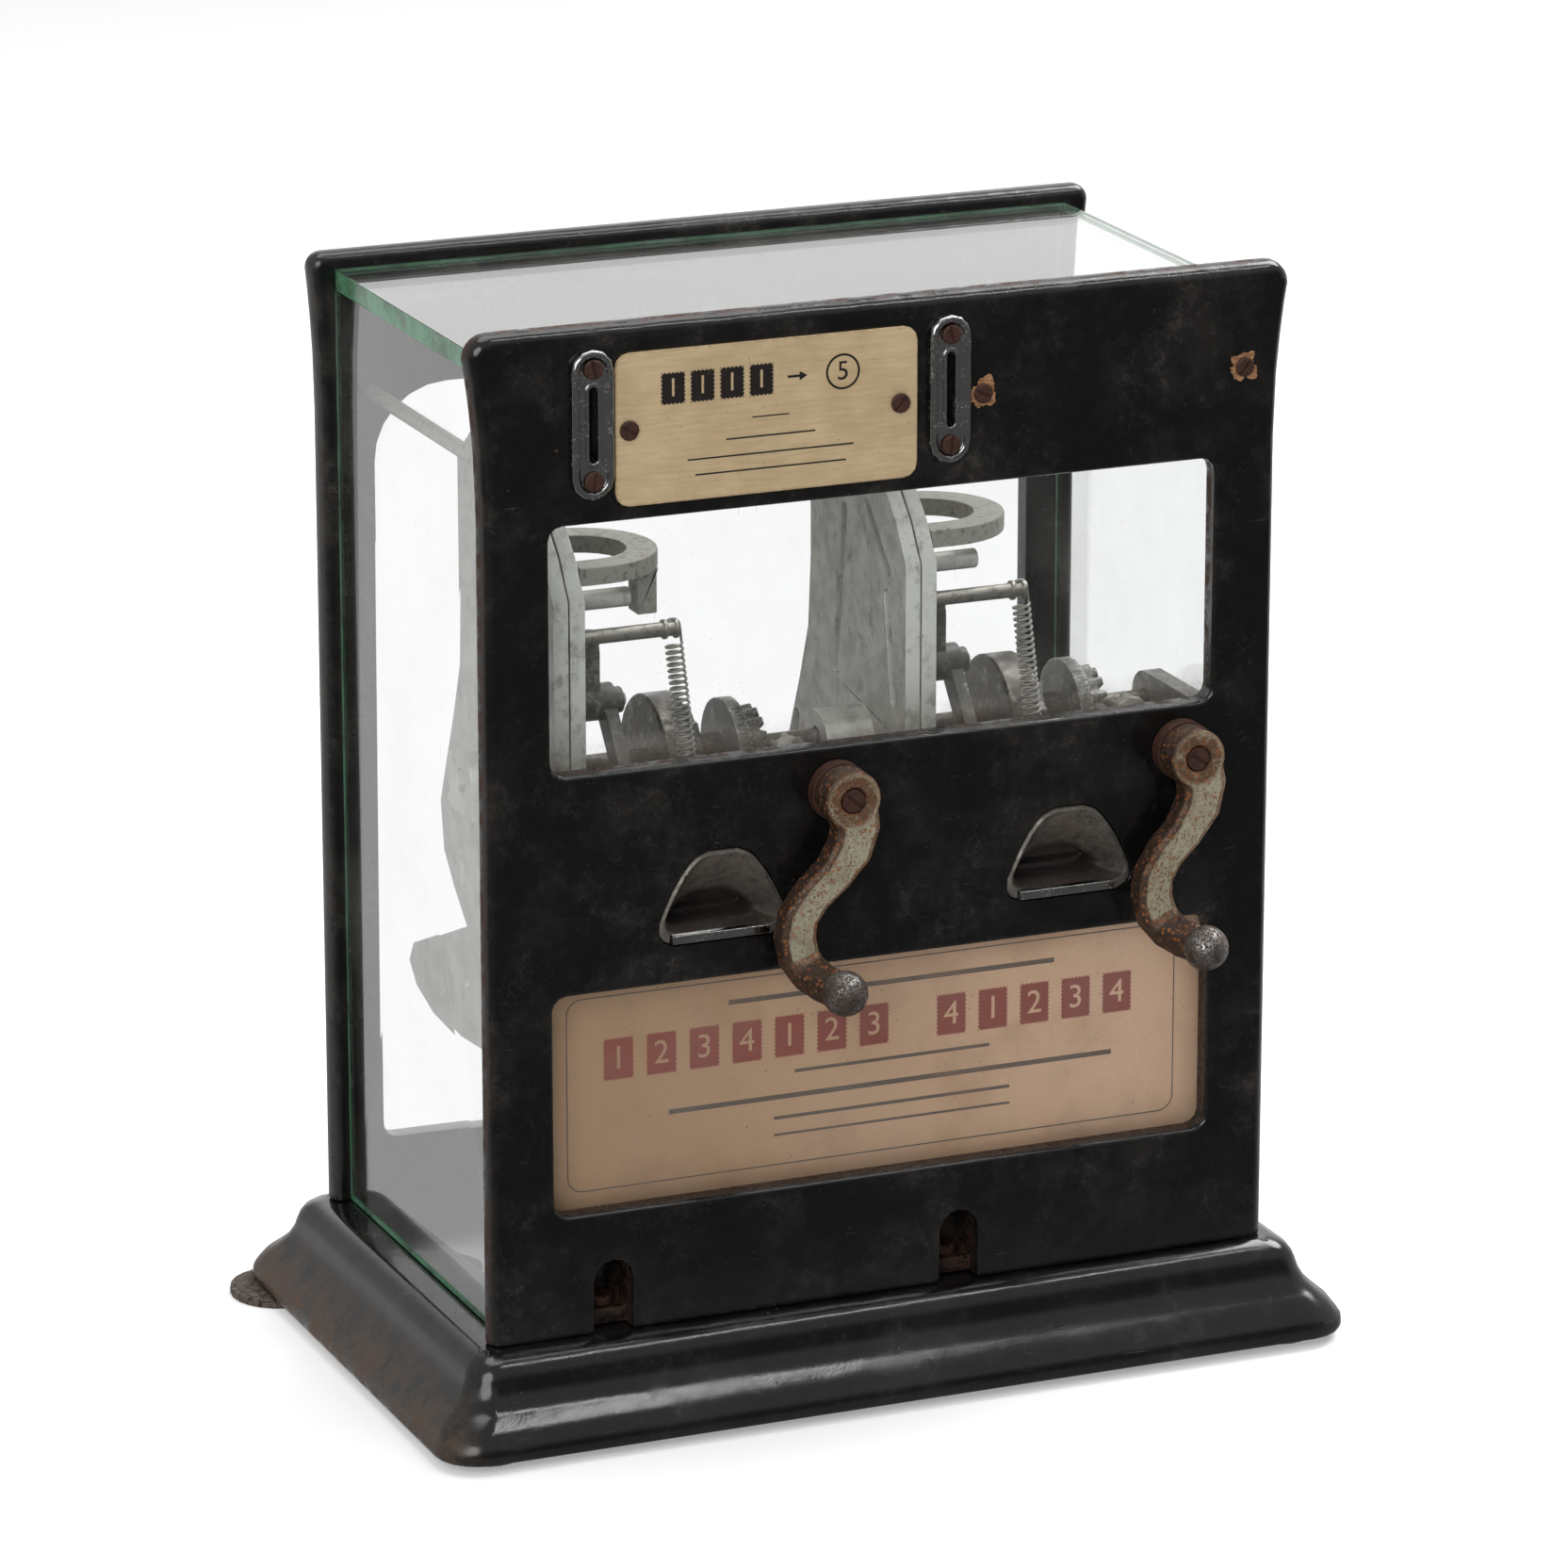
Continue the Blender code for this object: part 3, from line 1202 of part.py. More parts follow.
def build_spring(side, unit_x):
    points = spring_points(unit_x)
    print("least gap of spring_" + side, round(least_gap(points), 6))
    name = "spring_" + side
    curve = bpy.data.curves.new(name, "CURVE")
    curve.dimensions = "3D"
    curve.bevel_depth = spring_wire_radius
    curve.bevel_resolution = 1
    curve.use_fill_caps = True
    spline = curve.splines.new("POLY")
    spline.points.add(len(points) - 1)
    for point, place_at in zip(spline.points, points):
        point.co = (*place_at, 1)
    curve.materials.append(material("worn_chrome"))
    thing = bpy.data.objects.new(name, curve)
    machine_group.objects.link(thing)
    thing.parent = machine


def build_unit(side, unit_x, crank_turn, shaft_end):
    crank_x = unit_x + crank_offset
    build_coin_plate(side, unit_x)
    build_outlet(side, unit_x)
    build_bush(side, crank_x)
    build_chutes(side, unit_x)
    build_magnet(side, unit_x)
    build_post(side, unit_x)
    build_spring(side, unit_x)
    crank_axis = new_empty("crank_axis_" + side, (crank_x, 0, crank_height), machine)
    hang(build_crank_arm(side, crank_x, crank_turn), crank_axis)
    hang(build_crank_screw(side, crank_x, crank_turn + math.radians(40)), crank_axis)
    hang(build_crank_shaft(side, crank_x), crank_axis)
    feed_axis = new_empty("feed_axis_" + side, (unit_x, shaft_y, shaft_z), machine)
    hang(build_feed_shaft(side, unit_x, shaft_end), feed_axis)
    hang(build_feed_drum(side, unit_x), feed_axis)
    hang(build_bevel_gear(side, unit_x), feed_axis)
    lever_axis = new_empty("lever_axis_" + side, (unit_x, lever_y, lever_z), machine)
    hang(build_lever(side, unit_x), lever_axis)


build_base()
build_front_casting()
build_back_casting()
build_tie_rods()
build_panes()
build_price_plate()
build_bracket()
build_unit("left", left_unit_x, 0, left_shaft_end)
build_unit("right", left_unit_x + unit_pitch, right_crank_turn, right_shaft_end)
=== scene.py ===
"""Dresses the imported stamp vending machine: japanned iron castings, plate glass, rusted nickel
cranks and die-cast works, on a white studio floor. Everything is in metres, front towards -Y."""
import json

import bmesh
import bpy
from bpy.props import FloatProperty, FloatVectorProperty, IntProperty, PointerProperty
from math import cos, pi, radians, sin
from mathutils import Matrix, Vector, noise

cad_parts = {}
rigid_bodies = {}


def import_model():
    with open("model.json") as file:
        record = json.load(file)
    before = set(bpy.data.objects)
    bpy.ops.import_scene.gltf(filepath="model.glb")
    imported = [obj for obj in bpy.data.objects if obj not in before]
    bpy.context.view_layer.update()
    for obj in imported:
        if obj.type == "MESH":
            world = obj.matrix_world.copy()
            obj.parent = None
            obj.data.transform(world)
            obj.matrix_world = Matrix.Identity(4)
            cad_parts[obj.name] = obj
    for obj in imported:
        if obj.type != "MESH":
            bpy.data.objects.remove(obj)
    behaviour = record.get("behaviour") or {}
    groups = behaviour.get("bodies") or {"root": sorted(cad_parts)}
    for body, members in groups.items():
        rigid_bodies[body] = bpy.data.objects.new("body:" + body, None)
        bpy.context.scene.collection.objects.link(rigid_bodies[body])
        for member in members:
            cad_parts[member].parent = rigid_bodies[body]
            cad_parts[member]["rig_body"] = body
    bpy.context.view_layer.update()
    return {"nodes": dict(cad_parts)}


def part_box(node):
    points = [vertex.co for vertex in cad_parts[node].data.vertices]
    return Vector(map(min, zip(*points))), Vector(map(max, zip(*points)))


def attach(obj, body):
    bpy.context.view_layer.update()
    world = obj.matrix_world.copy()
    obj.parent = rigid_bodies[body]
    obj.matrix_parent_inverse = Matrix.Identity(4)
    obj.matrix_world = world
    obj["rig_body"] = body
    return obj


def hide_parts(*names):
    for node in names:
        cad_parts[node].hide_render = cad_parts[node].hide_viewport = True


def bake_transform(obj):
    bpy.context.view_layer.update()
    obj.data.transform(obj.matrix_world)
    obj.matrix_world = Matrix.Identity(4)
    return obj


bl_info = {
    "name": "Stamp Vending Machine",
    "version": (1, 0, 0),
    "blender": (4, 5, 0),
    "location": "View3D > Sidebar > Stamp Machine",
    "description": "Builds the visible pieces and finishes of a counter-top stamp vending machine",
    "category": "Object",
}

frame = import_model()

sides = ("left", "right")
to_left, to_front, to_back = (-1.0, 0.0, 0.0), (0.0, -1.0, 0.0), (0.0, 1.0, 0.0)
upwards, downwards = (0.0, 0.0, 1.0), (0.0, 0.0, -1.0)
upright = Matrix.Rotation(radians(90), 4, "X")

# Places where a finish changes
front_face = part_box("front_casting")[0].y
base_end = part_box("base_casting")[0].x
reveal_starts = front_face + 0.0016
reveal_full = front_face + 0.0038
end_rust_starts = base_end + 0.01525
end_rust_full = base_end - 0.00275
throat_starts = front_face + 0.0078
throat_full = front_face + 0.0123
window_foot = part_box("window_glass")[0].z + 0.003
grime_height = 0.012
# Across the sign card: painted shade at its left end, painted light towards its right
card_shaded = -0.10
card_sunlit = 0.11
hub_rust_outer = 0.0098
hub_rust_inner = 0.0068

# Making of shapes
merge_distance = 0.00001
crease_angle = radians(32)
chute_crease = radians(35)
outlet_crease = radians(40)
arm_crease = radians(70)
coil_crease = radians(80)

# Prints: places from the middle of the plate or card
print_thickness = 0.00003
perforation_pitch = 0.0013
perforation_radius = 0.28 * perforation_pitch
capital_share = 0.7
plate_row_up = 0.0115
plate_stamps = 4
plate_stamp_size = (0.0078, 0.0098)
plate_stamp_first = -0.0305
plate_stamp_pitch = 0.0095
plate_stamp_numeral = 0.0056
coin_across = 0.0245
coin_radius = 0.0052
coin_line = 0.0007
coin_numeral = 0.0058
arrow_tail = (0.004, 0.0008)
arrow_tail_across = 0.0085
arrow_head_across = 0.0112
arrow_head_radius = 0.0017
plate_bars_across = 0.001
sign_stamps = 12
sign_stamp_size = (0.0100, 0.0135)
sign_stamp_first = -0.0855
sign_stamp_pitch = 0.0142
sign_stamp_gap = 0.012
sign_stamps_before_gap = 7
sign_stamp_numeral = 0.0075
sign_row_up = 0.0105
sign_bars_across = 0.006
border_size = (0.205, 0.0620)
border_corner = 0.005

# Cranks: the right arm was left standing a little further round than the left one
arm_turn = {"left": 0.0, "right": radians(-5.5)}
hub_y = -0.0777
knob_from_hub = Vector((-0.0095, -0.0200, -0.0555))
arm_smoothings = 5

# Springs
wire_corners = 8
steps_in_a_turn = 20
hook_sweep = radians(265)
hook_steps = 24


# Sizes and colours


def linear(value):
    """sRGB hex colour to the linear RGBA that shaders take."""
    parts = [int(value[start:start + 2], 16) / 255 for start in (1, 3, 5)]
    return [part / 12.92 if part <= 0.04045 else ((part + 0.055) / 1.055) ** 2.4 for part in parts] + [1.0]


def colour(name, value, description):
    return FloatVectorProperty(name=name, description=description, subtype="COLOR", size=4, min=0, max=1,
                               default=linear(value))


def length(name, value, description):
    return FloatProperty(name=name, description=description, default=value, min=0, precision=5,
                         subtype="DISTANCE", unit="LENGTH")


class StampMachineSizes(bpy.types.PropertyGroup):
    casting_round: length("Casting edge", 0.0005, "Radius on the edges of the iron castings")
    fitting_round: length("Fitting edge", 0.00025, "Radius on the edges of the small metal fittings")
    plate_round: length("Plate edge", 0.0003, "Radius on the edges of the price plate")
    sheet_round: length("Sheet edge", 0.0002, "Radius on the edges of the sheet steel")
    foot_round: length("Foot edge", 0.0004, "Radius on the edges of the rubber feet")
    glass_round: length("Glass arris", 0.0002, "Ground arris along the edges of the glass")
    green_foot: length("Green foot", 0.0014, "Height to which the side panes glow green at their foot")
    knob_radius: length("Knob radius", 0.00705, "Radius of the round crank knobs")
    arm_voxel: length("Crank grain", 0.00042, "Cell in which the crank arms are remeshed")
    arm_pit: length("Crank pitting", 0.00016, "Depth of the pits and scale on the crank arms")
    coil_radius: length("Coil radius", 0.00255, "Middle radius of the spring coils")
    wire_radius: length("Wire radius", 0.00045, "Radius of the spring wire")
    hook_neck: length("Hook neck", 0.0052, "From a hook's pin to the first coil")
    coil_turns: IntProperty(name="Coil turns", description="Turns in each spring", default=27, min=4, max=60)
    scrap_radius: length("Fibre scrap", 0.0046, "Radius of the torn fibre under the spare screws")
    scrap_thickness: length("Fibre thickness", 0.0004, "Thickness of the torn fibre")
    rule_width: length("Rule width", 0.0004, "Width of the printed border line")


class StampMachineColours(bpy.types.PropertyGroup):
    enamel: colour("Enamel", "#0B0B0B", "Black stoved enamel")
    rust: colour("Rust", "#4A2A1B", "Dark old rust")
    fresh_rust: colour("Fresh rust", "#7F4A1F", "Orange rust speckle")
    nickel: colour("Nickel", "#B5AE97", "Worn nickel plate")
    chrome: colour("Chrome", "#B4B5B3", "Pitted chrome plate")
    die_cast: colour("Die casting", "#A3A09A", "Oxidised zinc die casting")
    steel: colour("Steel", "#8F8B84", "Dull plated steel")
    cream: colour("Cream plate", "#B5A07C", "Cream paint of the price plate")
    # Sign card colours: paler where painted light falls, darker at its left end as painted shade
    card: colour("Card", "#CDA68B", "Aged sign card, where the light has reached it")
    shaded_card: colour("Shaded card", "#A78568", "Aged sign card at its left end")
    red_ink: colour("Red ink", "#864740", "Muted red print on the card")
    grey_ink: colour("Grey ink", "#5E524C", "Grey print on the card")
    black_ink: colour("Black ink", "#1D1714", "Black print on the price plate")
    glass_edge: colour("Glass edge", "#4F8A63", "Green of the glass seen through its edges")
    rubber: colour("Rubber", "#4A403A", "Old cracked rubber")


# Making of materials


def add_node(tree, kind, inputs=None, **settings):
    """Add a shader node with its settings, and set or link its inputs. A colour may be a hex string."""
    made = tree.nodes.new(kind)
    for name, value in settings.items():
        setattr(made, name, value)
    for key, value in (inputs or {}).items():
        if isinstance(value, bpy.types.NodeSocket):
            tree.links.new(value, made.inputs[key])
        else:
            made.inputs[key].default_value = linear(value) if isinstance(value, str) else value
    return made


def per_metre(millimetres):
    """Texture scale at which one cell is that many millimetres across."""
    return 1000 / millimetres


def blank(name, inputs=None):
    """A new material with one Principled BSDF. Gives its tree, the shader and the object's own place."""
    material = bpy.data.materials.new(name)
    material.use_nodes = True
    tree = material.node_tree
    tree.nodes.clear()
    surface = add_node(tree, "ShaderNodeBsdfPrincipled", inputs)
    add_node(tree, "ShaderNodeOutputMaterial", {"Surface": surface.outputs[0]})
    return tree, surface, add_node(tree, "ShaderNodeTexCoord").outputs["Object"]


def show(tree, shader):
    """Let the material end in another shader than the one it began with."""
    output = next(one for one in tree.nodes if one.type == "OUTPUT_MATERIAL")
    tree.links.new(shader.outputs[0], output.inputs["Surface"])


def patches(tree, place, size, low, high, detail=4.0, roughness=0.6, stretch=(1, 1, 1), shift=0.0):
    """Soft-edged patches of noise that size in millimetres across, from 0 below low to 1 above high."""
    moved = add_node(tree, "ShaderNodeMapping", {"Vector": place, "Location": (shift, shift, shift),
                                                 "Scale": stretch})
    grain = add_node(tree, "ShaderNodeTexNoise", {"Vector": moved.outputs[0], "Scale": per_metre(size),
                                                  "Detail": detail, "Roughness": roughness})
    return add_node(tree, "ShaderNodeMapRange", interpolation_type="SMOOTHSTEP", inputs={
        "Value": grain.outputs[0], "From Min": low, "From Max": high}).outputs[0]


def pits(tree, place, size, low, high, shift=0.0):
    """Round spots at the cells of a Voronoi pattern, 1 in the middle of a spot and 0 between them."""
    moved = add_node(tree, "ShaderNodeMapping", {"Vector": place, "Location": (shift, shift, shift)})
    cells = add_node(tree, "ShaderNodeTexVoronoi", {"Vector": moved.outputs[0], "Scale": per_metre(size)})
    return add_node(tree, "ShaderNodeMapRange", interpolation_type="SMOOTHSTEP", inputs={
        "Value": cells.outputs["Distance"], "From Min": high, "From Max": low}).outputs[0]


def edge_wear(tree, place, width, low, high, size):
    """1 where an edge turns away within width millimetres, broken up by noise of that size."""
    rounded = add_node(tree, "ShaderNodeBevel", {"Radius": width / 1000}, samples=4)
    true = add_node(tree, "ShaderNodeNewGeometry").outputs["True Normal"]
    turn = add_node(tree, "ShaderNodeVectorMath", {0: rounded.outputs[0], 1: true}, operation="DOT_PRODUCT")
    away = add_node(tree, "ShaderNodeMath", {0: 1.0, 1: turn.outputs["Value"]}, operation="SUBTRACT")
    broken = patches(tree, place, size, 0.35, 0.65, 5.0, 0.7)
    amount = add_node(tree, "ShaderNodeMath", {0: away.outputs[0], 1: broken}, operation="MULTIPLY")
    return add_node(tree, "ShaderNodeMapRange", interpolation_type="SMOOTHSTEP", inputs={
        "Value": amount.outputs[0], "From Min": low, "From Max": high}).outputs[0]


def facing(tree, direction, low, high):
    """1 where the surface turns towards a direction by more than high, and 0 below low."""
    normal = add_node(tree, "ShaderNodeNewGeometry").outputs["Normal"]
    turned = add_node(tree, "ShaderNodeVectorMath", {0: normal, 1: direction}, operation="DOT_PRODUCT")
    return add_node(tree, "ShaderNodeMapRange", interpolation_type="SMOOTHSTEP", inputs={
        "Value": turned.outputs["Value"], "From Min": low, "From Max": high}).outputs[0]


def along(tree, place, axis, start, full, easing="SMOOTHSTEP"):
    """0 before a start along an axis, rising to 1 where it is full."""
    reached = add_node(tree, "ShaderNodeSeparateXYZ", {0: place}).outputs[axis]
    return add_node(tree, "ShaderNodeMapRange", interpolation_type=easing, inputs={
        "Value": reached, "From Min": start, "From Max": full}).outputs[0]


def joined(tree, *masks, by="MULTIPLY"):
    """Masks joined in turn into one: what they share, unless another way is named."""
    result = masks[0]
    for mask in masks[1:]:
        made = add_node(tree, "ShaderNodeMath", {0: result, 1: mask}, operation=by, use_clamp=True)
        result = made.outputs[0]
    return result


def layered(tree, base, *layers):
    """A colour or number with others laid over it. Each layer is its mask, its colour or number, and
    for a thin one its strength."""
    is_number = isinstance(base, (int, float))
    result = base
    for mask, value, *strength in layers:
        inputs = {0: joined(tree, mask, *strength)}
        inputs.update({2: result, 3: value} if is_number else {6: result, 7: value})
        made = add_node(tree, "ShaderNodeMix", inputs, data_type="FLOAT" if is_number else "RGBA")
        result = made.outputs[0 if is_number else 2]
    return result


def coat(tree, surface, socket, base, *layers):
    """Give one of the shader's inputs a base with layers over it."""
    tree.links.new(layered(tree, base, *layers), surface.inputs[socket])


def relief(tree, surface, *layers):
    """Bumps on a surface: pairs of a pattern and its height in millimetres, below 0 for dents."""
    normal = None
    for pattern, height in layers:
        inputs = {"Height": pattern, "Distance": abs(height) / 1000}
        if normal:
            inputs["Normal"] = normal
        normal = add_node(tree, "ShaderNodeBump", inputs, invert=height < 0).outputs[0]
    tree.links.new(normal, surface.inputs["Normal"])


# Finishes


def japanned_iron(colours, name="japanned_cast_iron", dust=0.02, left_dust_and_sheen=0.04, reveals=1.0, rusting=0.0,
                  waves=0.30):
    """Black enamel stoved on cast iron: a wavy gloss with hairline scratches, flaked patches and a
    thin film of dust. Faces turned to the left carry a paler film, partly dust and partly painted
    sheen. Knocked edges, hidden reveals and the far left end have gone rust brown."""
    tree, surface, place = blank(name)
    reveal = joined(tree, along(tree, place, "Y", reveal_starts, reveal_full, "LINEAR"), reveals,
                    patches(tree, place, 6.0, 0.40, 0.62, 5.0, 0.7, shift=1.1))
    bloom = joined(tree, along(tree, place, "X", end_rust_starts, end_rust_full), rusting,
                   patches(tree, place, 9.0, 0.36, 0.60, 6.0, 0.75, shift=0.6))
    worn = joined(tree, edge_wear(tree, place, 1.0, 0.05, 0.16, 2.6),
                  patches(tree, place, 26.0, 0.50, 0.62, 3.0, shift=0.2))
    chips = joined(tree, patches(tree, place, 2.6, 0.70, 0.72),
                   patches(tree, place, 40.0, 0.56 - dust, 0.62, shift=0.3))
    haze = patches(tree, place, 26.0, 0.42, 0.76, 6.0, 0.74)
    # Faces turned to the left get a paler, duller film: partly dust, partly painted sheen
    left = joined(tree, facing(tree, to_left, 0.2, 0.8), patches(tree, place, 14.0, 0.25, 0.65, 6.0, 0.7))
    scuffs = joined(tree, patches(tree, place, 11.0, 0.50, 0.64, 6.0, 0.8, shift=0.7), haze)
    flaked = patches(tree, place, 21.0, 0.585, 0.59, 5.0, 0.62, shift=1.9)
    within = patches(tree, place, 21.0, 0.592, 0.597, 5.0, 0.62, shift=1.9)
    rims = joined(tree, flaked, within, by="SUBTRACT")
    scratches = patches(tree, place, 1.1, 0.74, 0.77, 2.0, stretch=(0.07, 1, 1.6), shift=0.1)
    specks = joined(tree, pits(tree, place, 3.0, 0.04, 0.07),
                    patches(tree, place, 20.0, 0.42, 0.6, shift=2.0))
    film = "#6E6760"
    coat(tree, surface, "Base Color", colours.enamel, (haze, film, 0.05 + dust), (left, film, left_dust_and_sheen),
         (scuffs, film, 0.12 + dust), (rims, film, 0.06), (scratches, film, 0.2), (specks, film, 0.35),
         (bloom, "#57402C", 0.7), (reveal, "#3A2012", 0.85), (chips, colours.rust, 0.8),
         (worn, colours.rust, 0.75))
    coat(tree, surface, "Roughness", 0.12 + dust, (haze, 0.22 + dust), (left, 0.45, 4 * left_dust_and_sheen),
         (flaked, 0.10, 0.6), (scuffs, 0.34 + dust), (scratches, 0.45), (bloom, 0.6), (reveal, 0.8),
         (chips, 0.8), (worn, 0.7))
    relief(tree, surface, (patches(tree, place, 22.0, 0.2, 0.8, 2.0), waves), (flaked, -0.015),
           (patches(tree, place, 0.9, 0.2, 0.8, 3.0), 0.010), (joined(tree, chips, worn, by="ADD"), 0.05))


def clear_glass(name="plate_glass", foot=0.0):
    """Old plate glass: clear and smooth, with a faint film of dust, dark specks and hairlines, and
    grime settled just above the height of its foot. Light passes it as it would a window, so the
    works behind it are lit."""
    tree, surface, place = blank(name, {"Base Color": "#FEFFFF", "Roughness": 0.0, "IOR": 1.5,
                                        "Transmission Weight": 1.0})
    rays = add_node(tree, "ShaderNodeLightPath").outputs
    through = add_node(tree, "ShaderNodeBsdfTransparent", {"Color": "#F4F7F6"})
    passing = joined(tree, rays["Is Shadow Ray"], rays["Is Diffuse Ray"], by="MAXIMUM")
    pane = add_node(tree, "ShaderNodeMixShader", {0: passing, 1: surface.outputs[0], 2: through.outputs[0]})
    grime = joined(tree, along(tree, place, "Z", foot + grime_height, foot),
                   patches(tree, place, 9.0, 0.25, 0.7, 6.0, 0.75, shift=0.9))
    dust = add_node(tree, "ShaderNodeBsdfDiffuse", {"Color": layered(tree, "#BDB8B0", (grime, "#6B5A4A"))})
    specks = joined(tree, pits(tree, place, 2.6, 0.04, 0.09),
                    patches(tree, place, 24.0, 0.40, 0.66, shift=0.5), 0.5)
    hairs = joined(tree, patches(tree, place, 1.6, 0.75, 0.78, 2.0, stretch=(1, 1, 0.06), shift=0.3), 0.2)
    film = joined(tree, patches(tree, place, 42.0, 0.35, 0.8, 6.0, 0.7), 0.045)
    veil = joined(tree, specks, hairs, film, joined(tree, grime, 0.3), by="MAXIMUM")
    show(tree, add_node(tree, "ShaderNodeMixShader", {0: veil, 1: pane.outputs[0], 2: dust.outputs[0]}))


def green_edge(colours):
    """Cut edge of plate glass: the light comes out sea green, with a ripple from the wheel."""
    tree, surface, place = blank("cut_glass_edge", {
        "Roughness": 0.15, "IOR": 1.5, "Transmission Weight": 0.25})
    ripple = patches(tree, place, 7.0, 0.3, 0.7, stretch=(1, 1, 0.2))
    grime = patches(tree, place, 12.0, 0.42, 0.62, 5.0, 0.7, shift=0.4)
    coat(tree, surface, "Base Color", colours.glass_edge, (ripple, "#8FB0A2", 0.35), (grime, "#3A4038", 0.6))
    relief(tree, surface, (ripple, 0.05))


def rusted_iron():
    """Mild steel rusted brown all over: dull, granular and darker in the hollows."""
    tree, surface, place = blank("rusted_screw_iron", {"Metallic": 0.25})
    grains = patches(tree, place, 0.5, 0.35, 0.65, 5.0, 0.7)
    blotches = patches(tree, place, 2.4, 0.45, 0.65, shift=0.4)
    rubbed = edge_wear(tree, place, 0.4, 0.08, 0.3, 0.7)
    coat(tree, surface, "Base Color", "#3B2019", (blotches, "#1F120E", 0.7), (grains, "#6E4128", 0.22),
         (rubbed, "#7A5F4C", 0.30))
    coat(tree, surface, "Roughness", 0.48, (grains, 0.75), (rubbed, 0.38))
    relief(tree, surface, (grains, 0.05), (blotches, 0.06))


def pitted_chrome(colours, name="pitted_chrome_plate", pitting=0.0):
    """Chrome plate on steel, bright on its rims, with small black pits and a brown bloom of rust."""
    tree, surface, place = blank(name)
    area = patches(tree, place, 6.0, 0.48 - 0.26 * pitting, 0.60 - 0.16 * pitting, 6.0, 0.75, shift=0.2)
    small = pits(tree, place, 0.75, 0.20 * pitting, 0.20 + 0.26 * pitting, shift=0.4)
    large = pits(tree, place, 1.1, 0.14 + 0.06 * pitting, 0.30 + 0.16 * pitting)
    holes = joined(tree, joined(tree, small, large, by="MAXIMUM"), area)
    specks = patches(tree, place, 1.2, 0.56 - 0.09 * pitting, 0.62 - 0.06 * pitting, 6.0, 0.78, shift=0.6)
    bloom = joined(tree, specks, area)
    haze = patches(tree, place, 7.0, 0.40 - 0.12 * pitting, 0.75 - 0.15 * pitting, 6.0, 0.7)
    coat(tree, surface, "Base Color", colours.chrome, (haze, "#8A8986", 0.35),
         (haze, "#4A3D36", 0.8 * pitting), (bloom, "#4E3A2C", 0.8), (holes, "#33221A"))
    coat(tree, surface, "Roughness", 0.10 + 0.18 * pitting, (haze, 0.2 + 0.12 * pitting), (bloom, 0.5),
         (holes, 0.8))
    coat(tree, surface, "Metallic", 1.0, (bloom, 0.5), (holes, 0.2))
    relief(tree, surface, (haze, 0.01), (holes, -0.04 - 0.04 * pitting), (bloom, 0.02))


def worn_nickel(colours, hubs):
    """Nickel plate worn thin on cast iron: pale greenish grey on the face, freckled with orange and
    brown rust that crowds along the edges and round the hubs. The sides are painted dark brown,
    partly rust and partly painted shade, and faces turned to the left get painted shade in brown."""
    tree, surface, place = blank("worn_nickel_plate")
    flat = add_node(tree, "ShaderNodeMapping", {"Vector": place, "Scale": (1, 0, 1)}).outputs[0]
    rings = 0.0
    for hub in hubs:
        away = add_node(tree, "ShaderNodeVectorMath", {0: flat, 1: (hub.x, 0, hub.z)}, operation="DISTANCE")
        ring = add_node(tree, "ShaderNodeMapRange", interpolation_type="SMOOTHSTEP", inputs={
            "Value": away.outputs["Value"], "From Min": hub_rust_outer, "From Max": hub_rust_inner})
        rings = joined(tree, ring.outputs[0], rings, by="MAXIMUM")
    near = joined(tree, rings, patches(tree, place, 2.4, 0.24, 0.52, 6.0, 0.75, shift=0.7))
    edges = joined(tree, facing(tree, to_back, -0.995, -0.94),
                   patches(tree, place, 2.0, 0.24, 0.52, 6.0, 0.75))
    crowd = joined(tree, patches(tree, place, 6.0, 0.38, 0.60, 6.0, 0.74, shift=0.5), edges, by="MAXIMUM")
    coarse = joined(tree, pits(tree, place, 1.9, 0.18, 0.40), crowd)
    fine = joined(tree, pits(tree, place, 0.9, 0.22, 0.46, shift=0.2),
                  joined(tree, patches(tree, place, 2.6, 0.38, 0.54, 5.0), near, by="MAXIMUM"))
    freckles = joined(tree, fine, coarse, by="MAXIMUM")
    blotches = joined(tree, patches(tree, place, 3.0, 0.52, 0.62, 6.0, 0.8, shift=0.9), crowd)
    tarnish = patches(tree, place, 9.0, 0.42, 0.70, 6.0, 0.72, shift=1.3)
    # Sides of the arm, away from the front, painted dark brown: partly rust, partly painted shade
    side = facing(tree, to_back, -0.80, -0.35)
    # Faces turned to the left painted dark brown: painted shade on the side away from the lamps
    shaded = joined(tree, facing(tree, to_left, -0.12, 0.35), patches(tree, place, 5.0, 0.15, 0.45, 5.0, 0.7))
    coat(tree, surface, "Base Color", colours.nickel, (tarnish, "#8A7F68", 0.55), (near, "#563419", 0.94),
         (edges, "#6A4122", 0.8), (blotches, "#6B4526", 0.75), (shaded, "#3F2C20", 0.92),
         (side, "#2E221B", 0.85), (fine, "#54310F", 0.9), (coarse, colours.fresh_rust, 0.9))
    coat(tree, surface, "Roughness", 0.34, (tarnish, 0.46), (shaded, 0.42), (side, 0.45), (blotches, 0.7),
         (freckles, 0.8))
    coat(tree, surface, "Metallic", 0.45, (side, 0.3), (near, 0.2), (blotches, 0.2), (freckles, 0.1))
    relief(tree, surface, (blotches, 0.10), (freckles, 0.06))


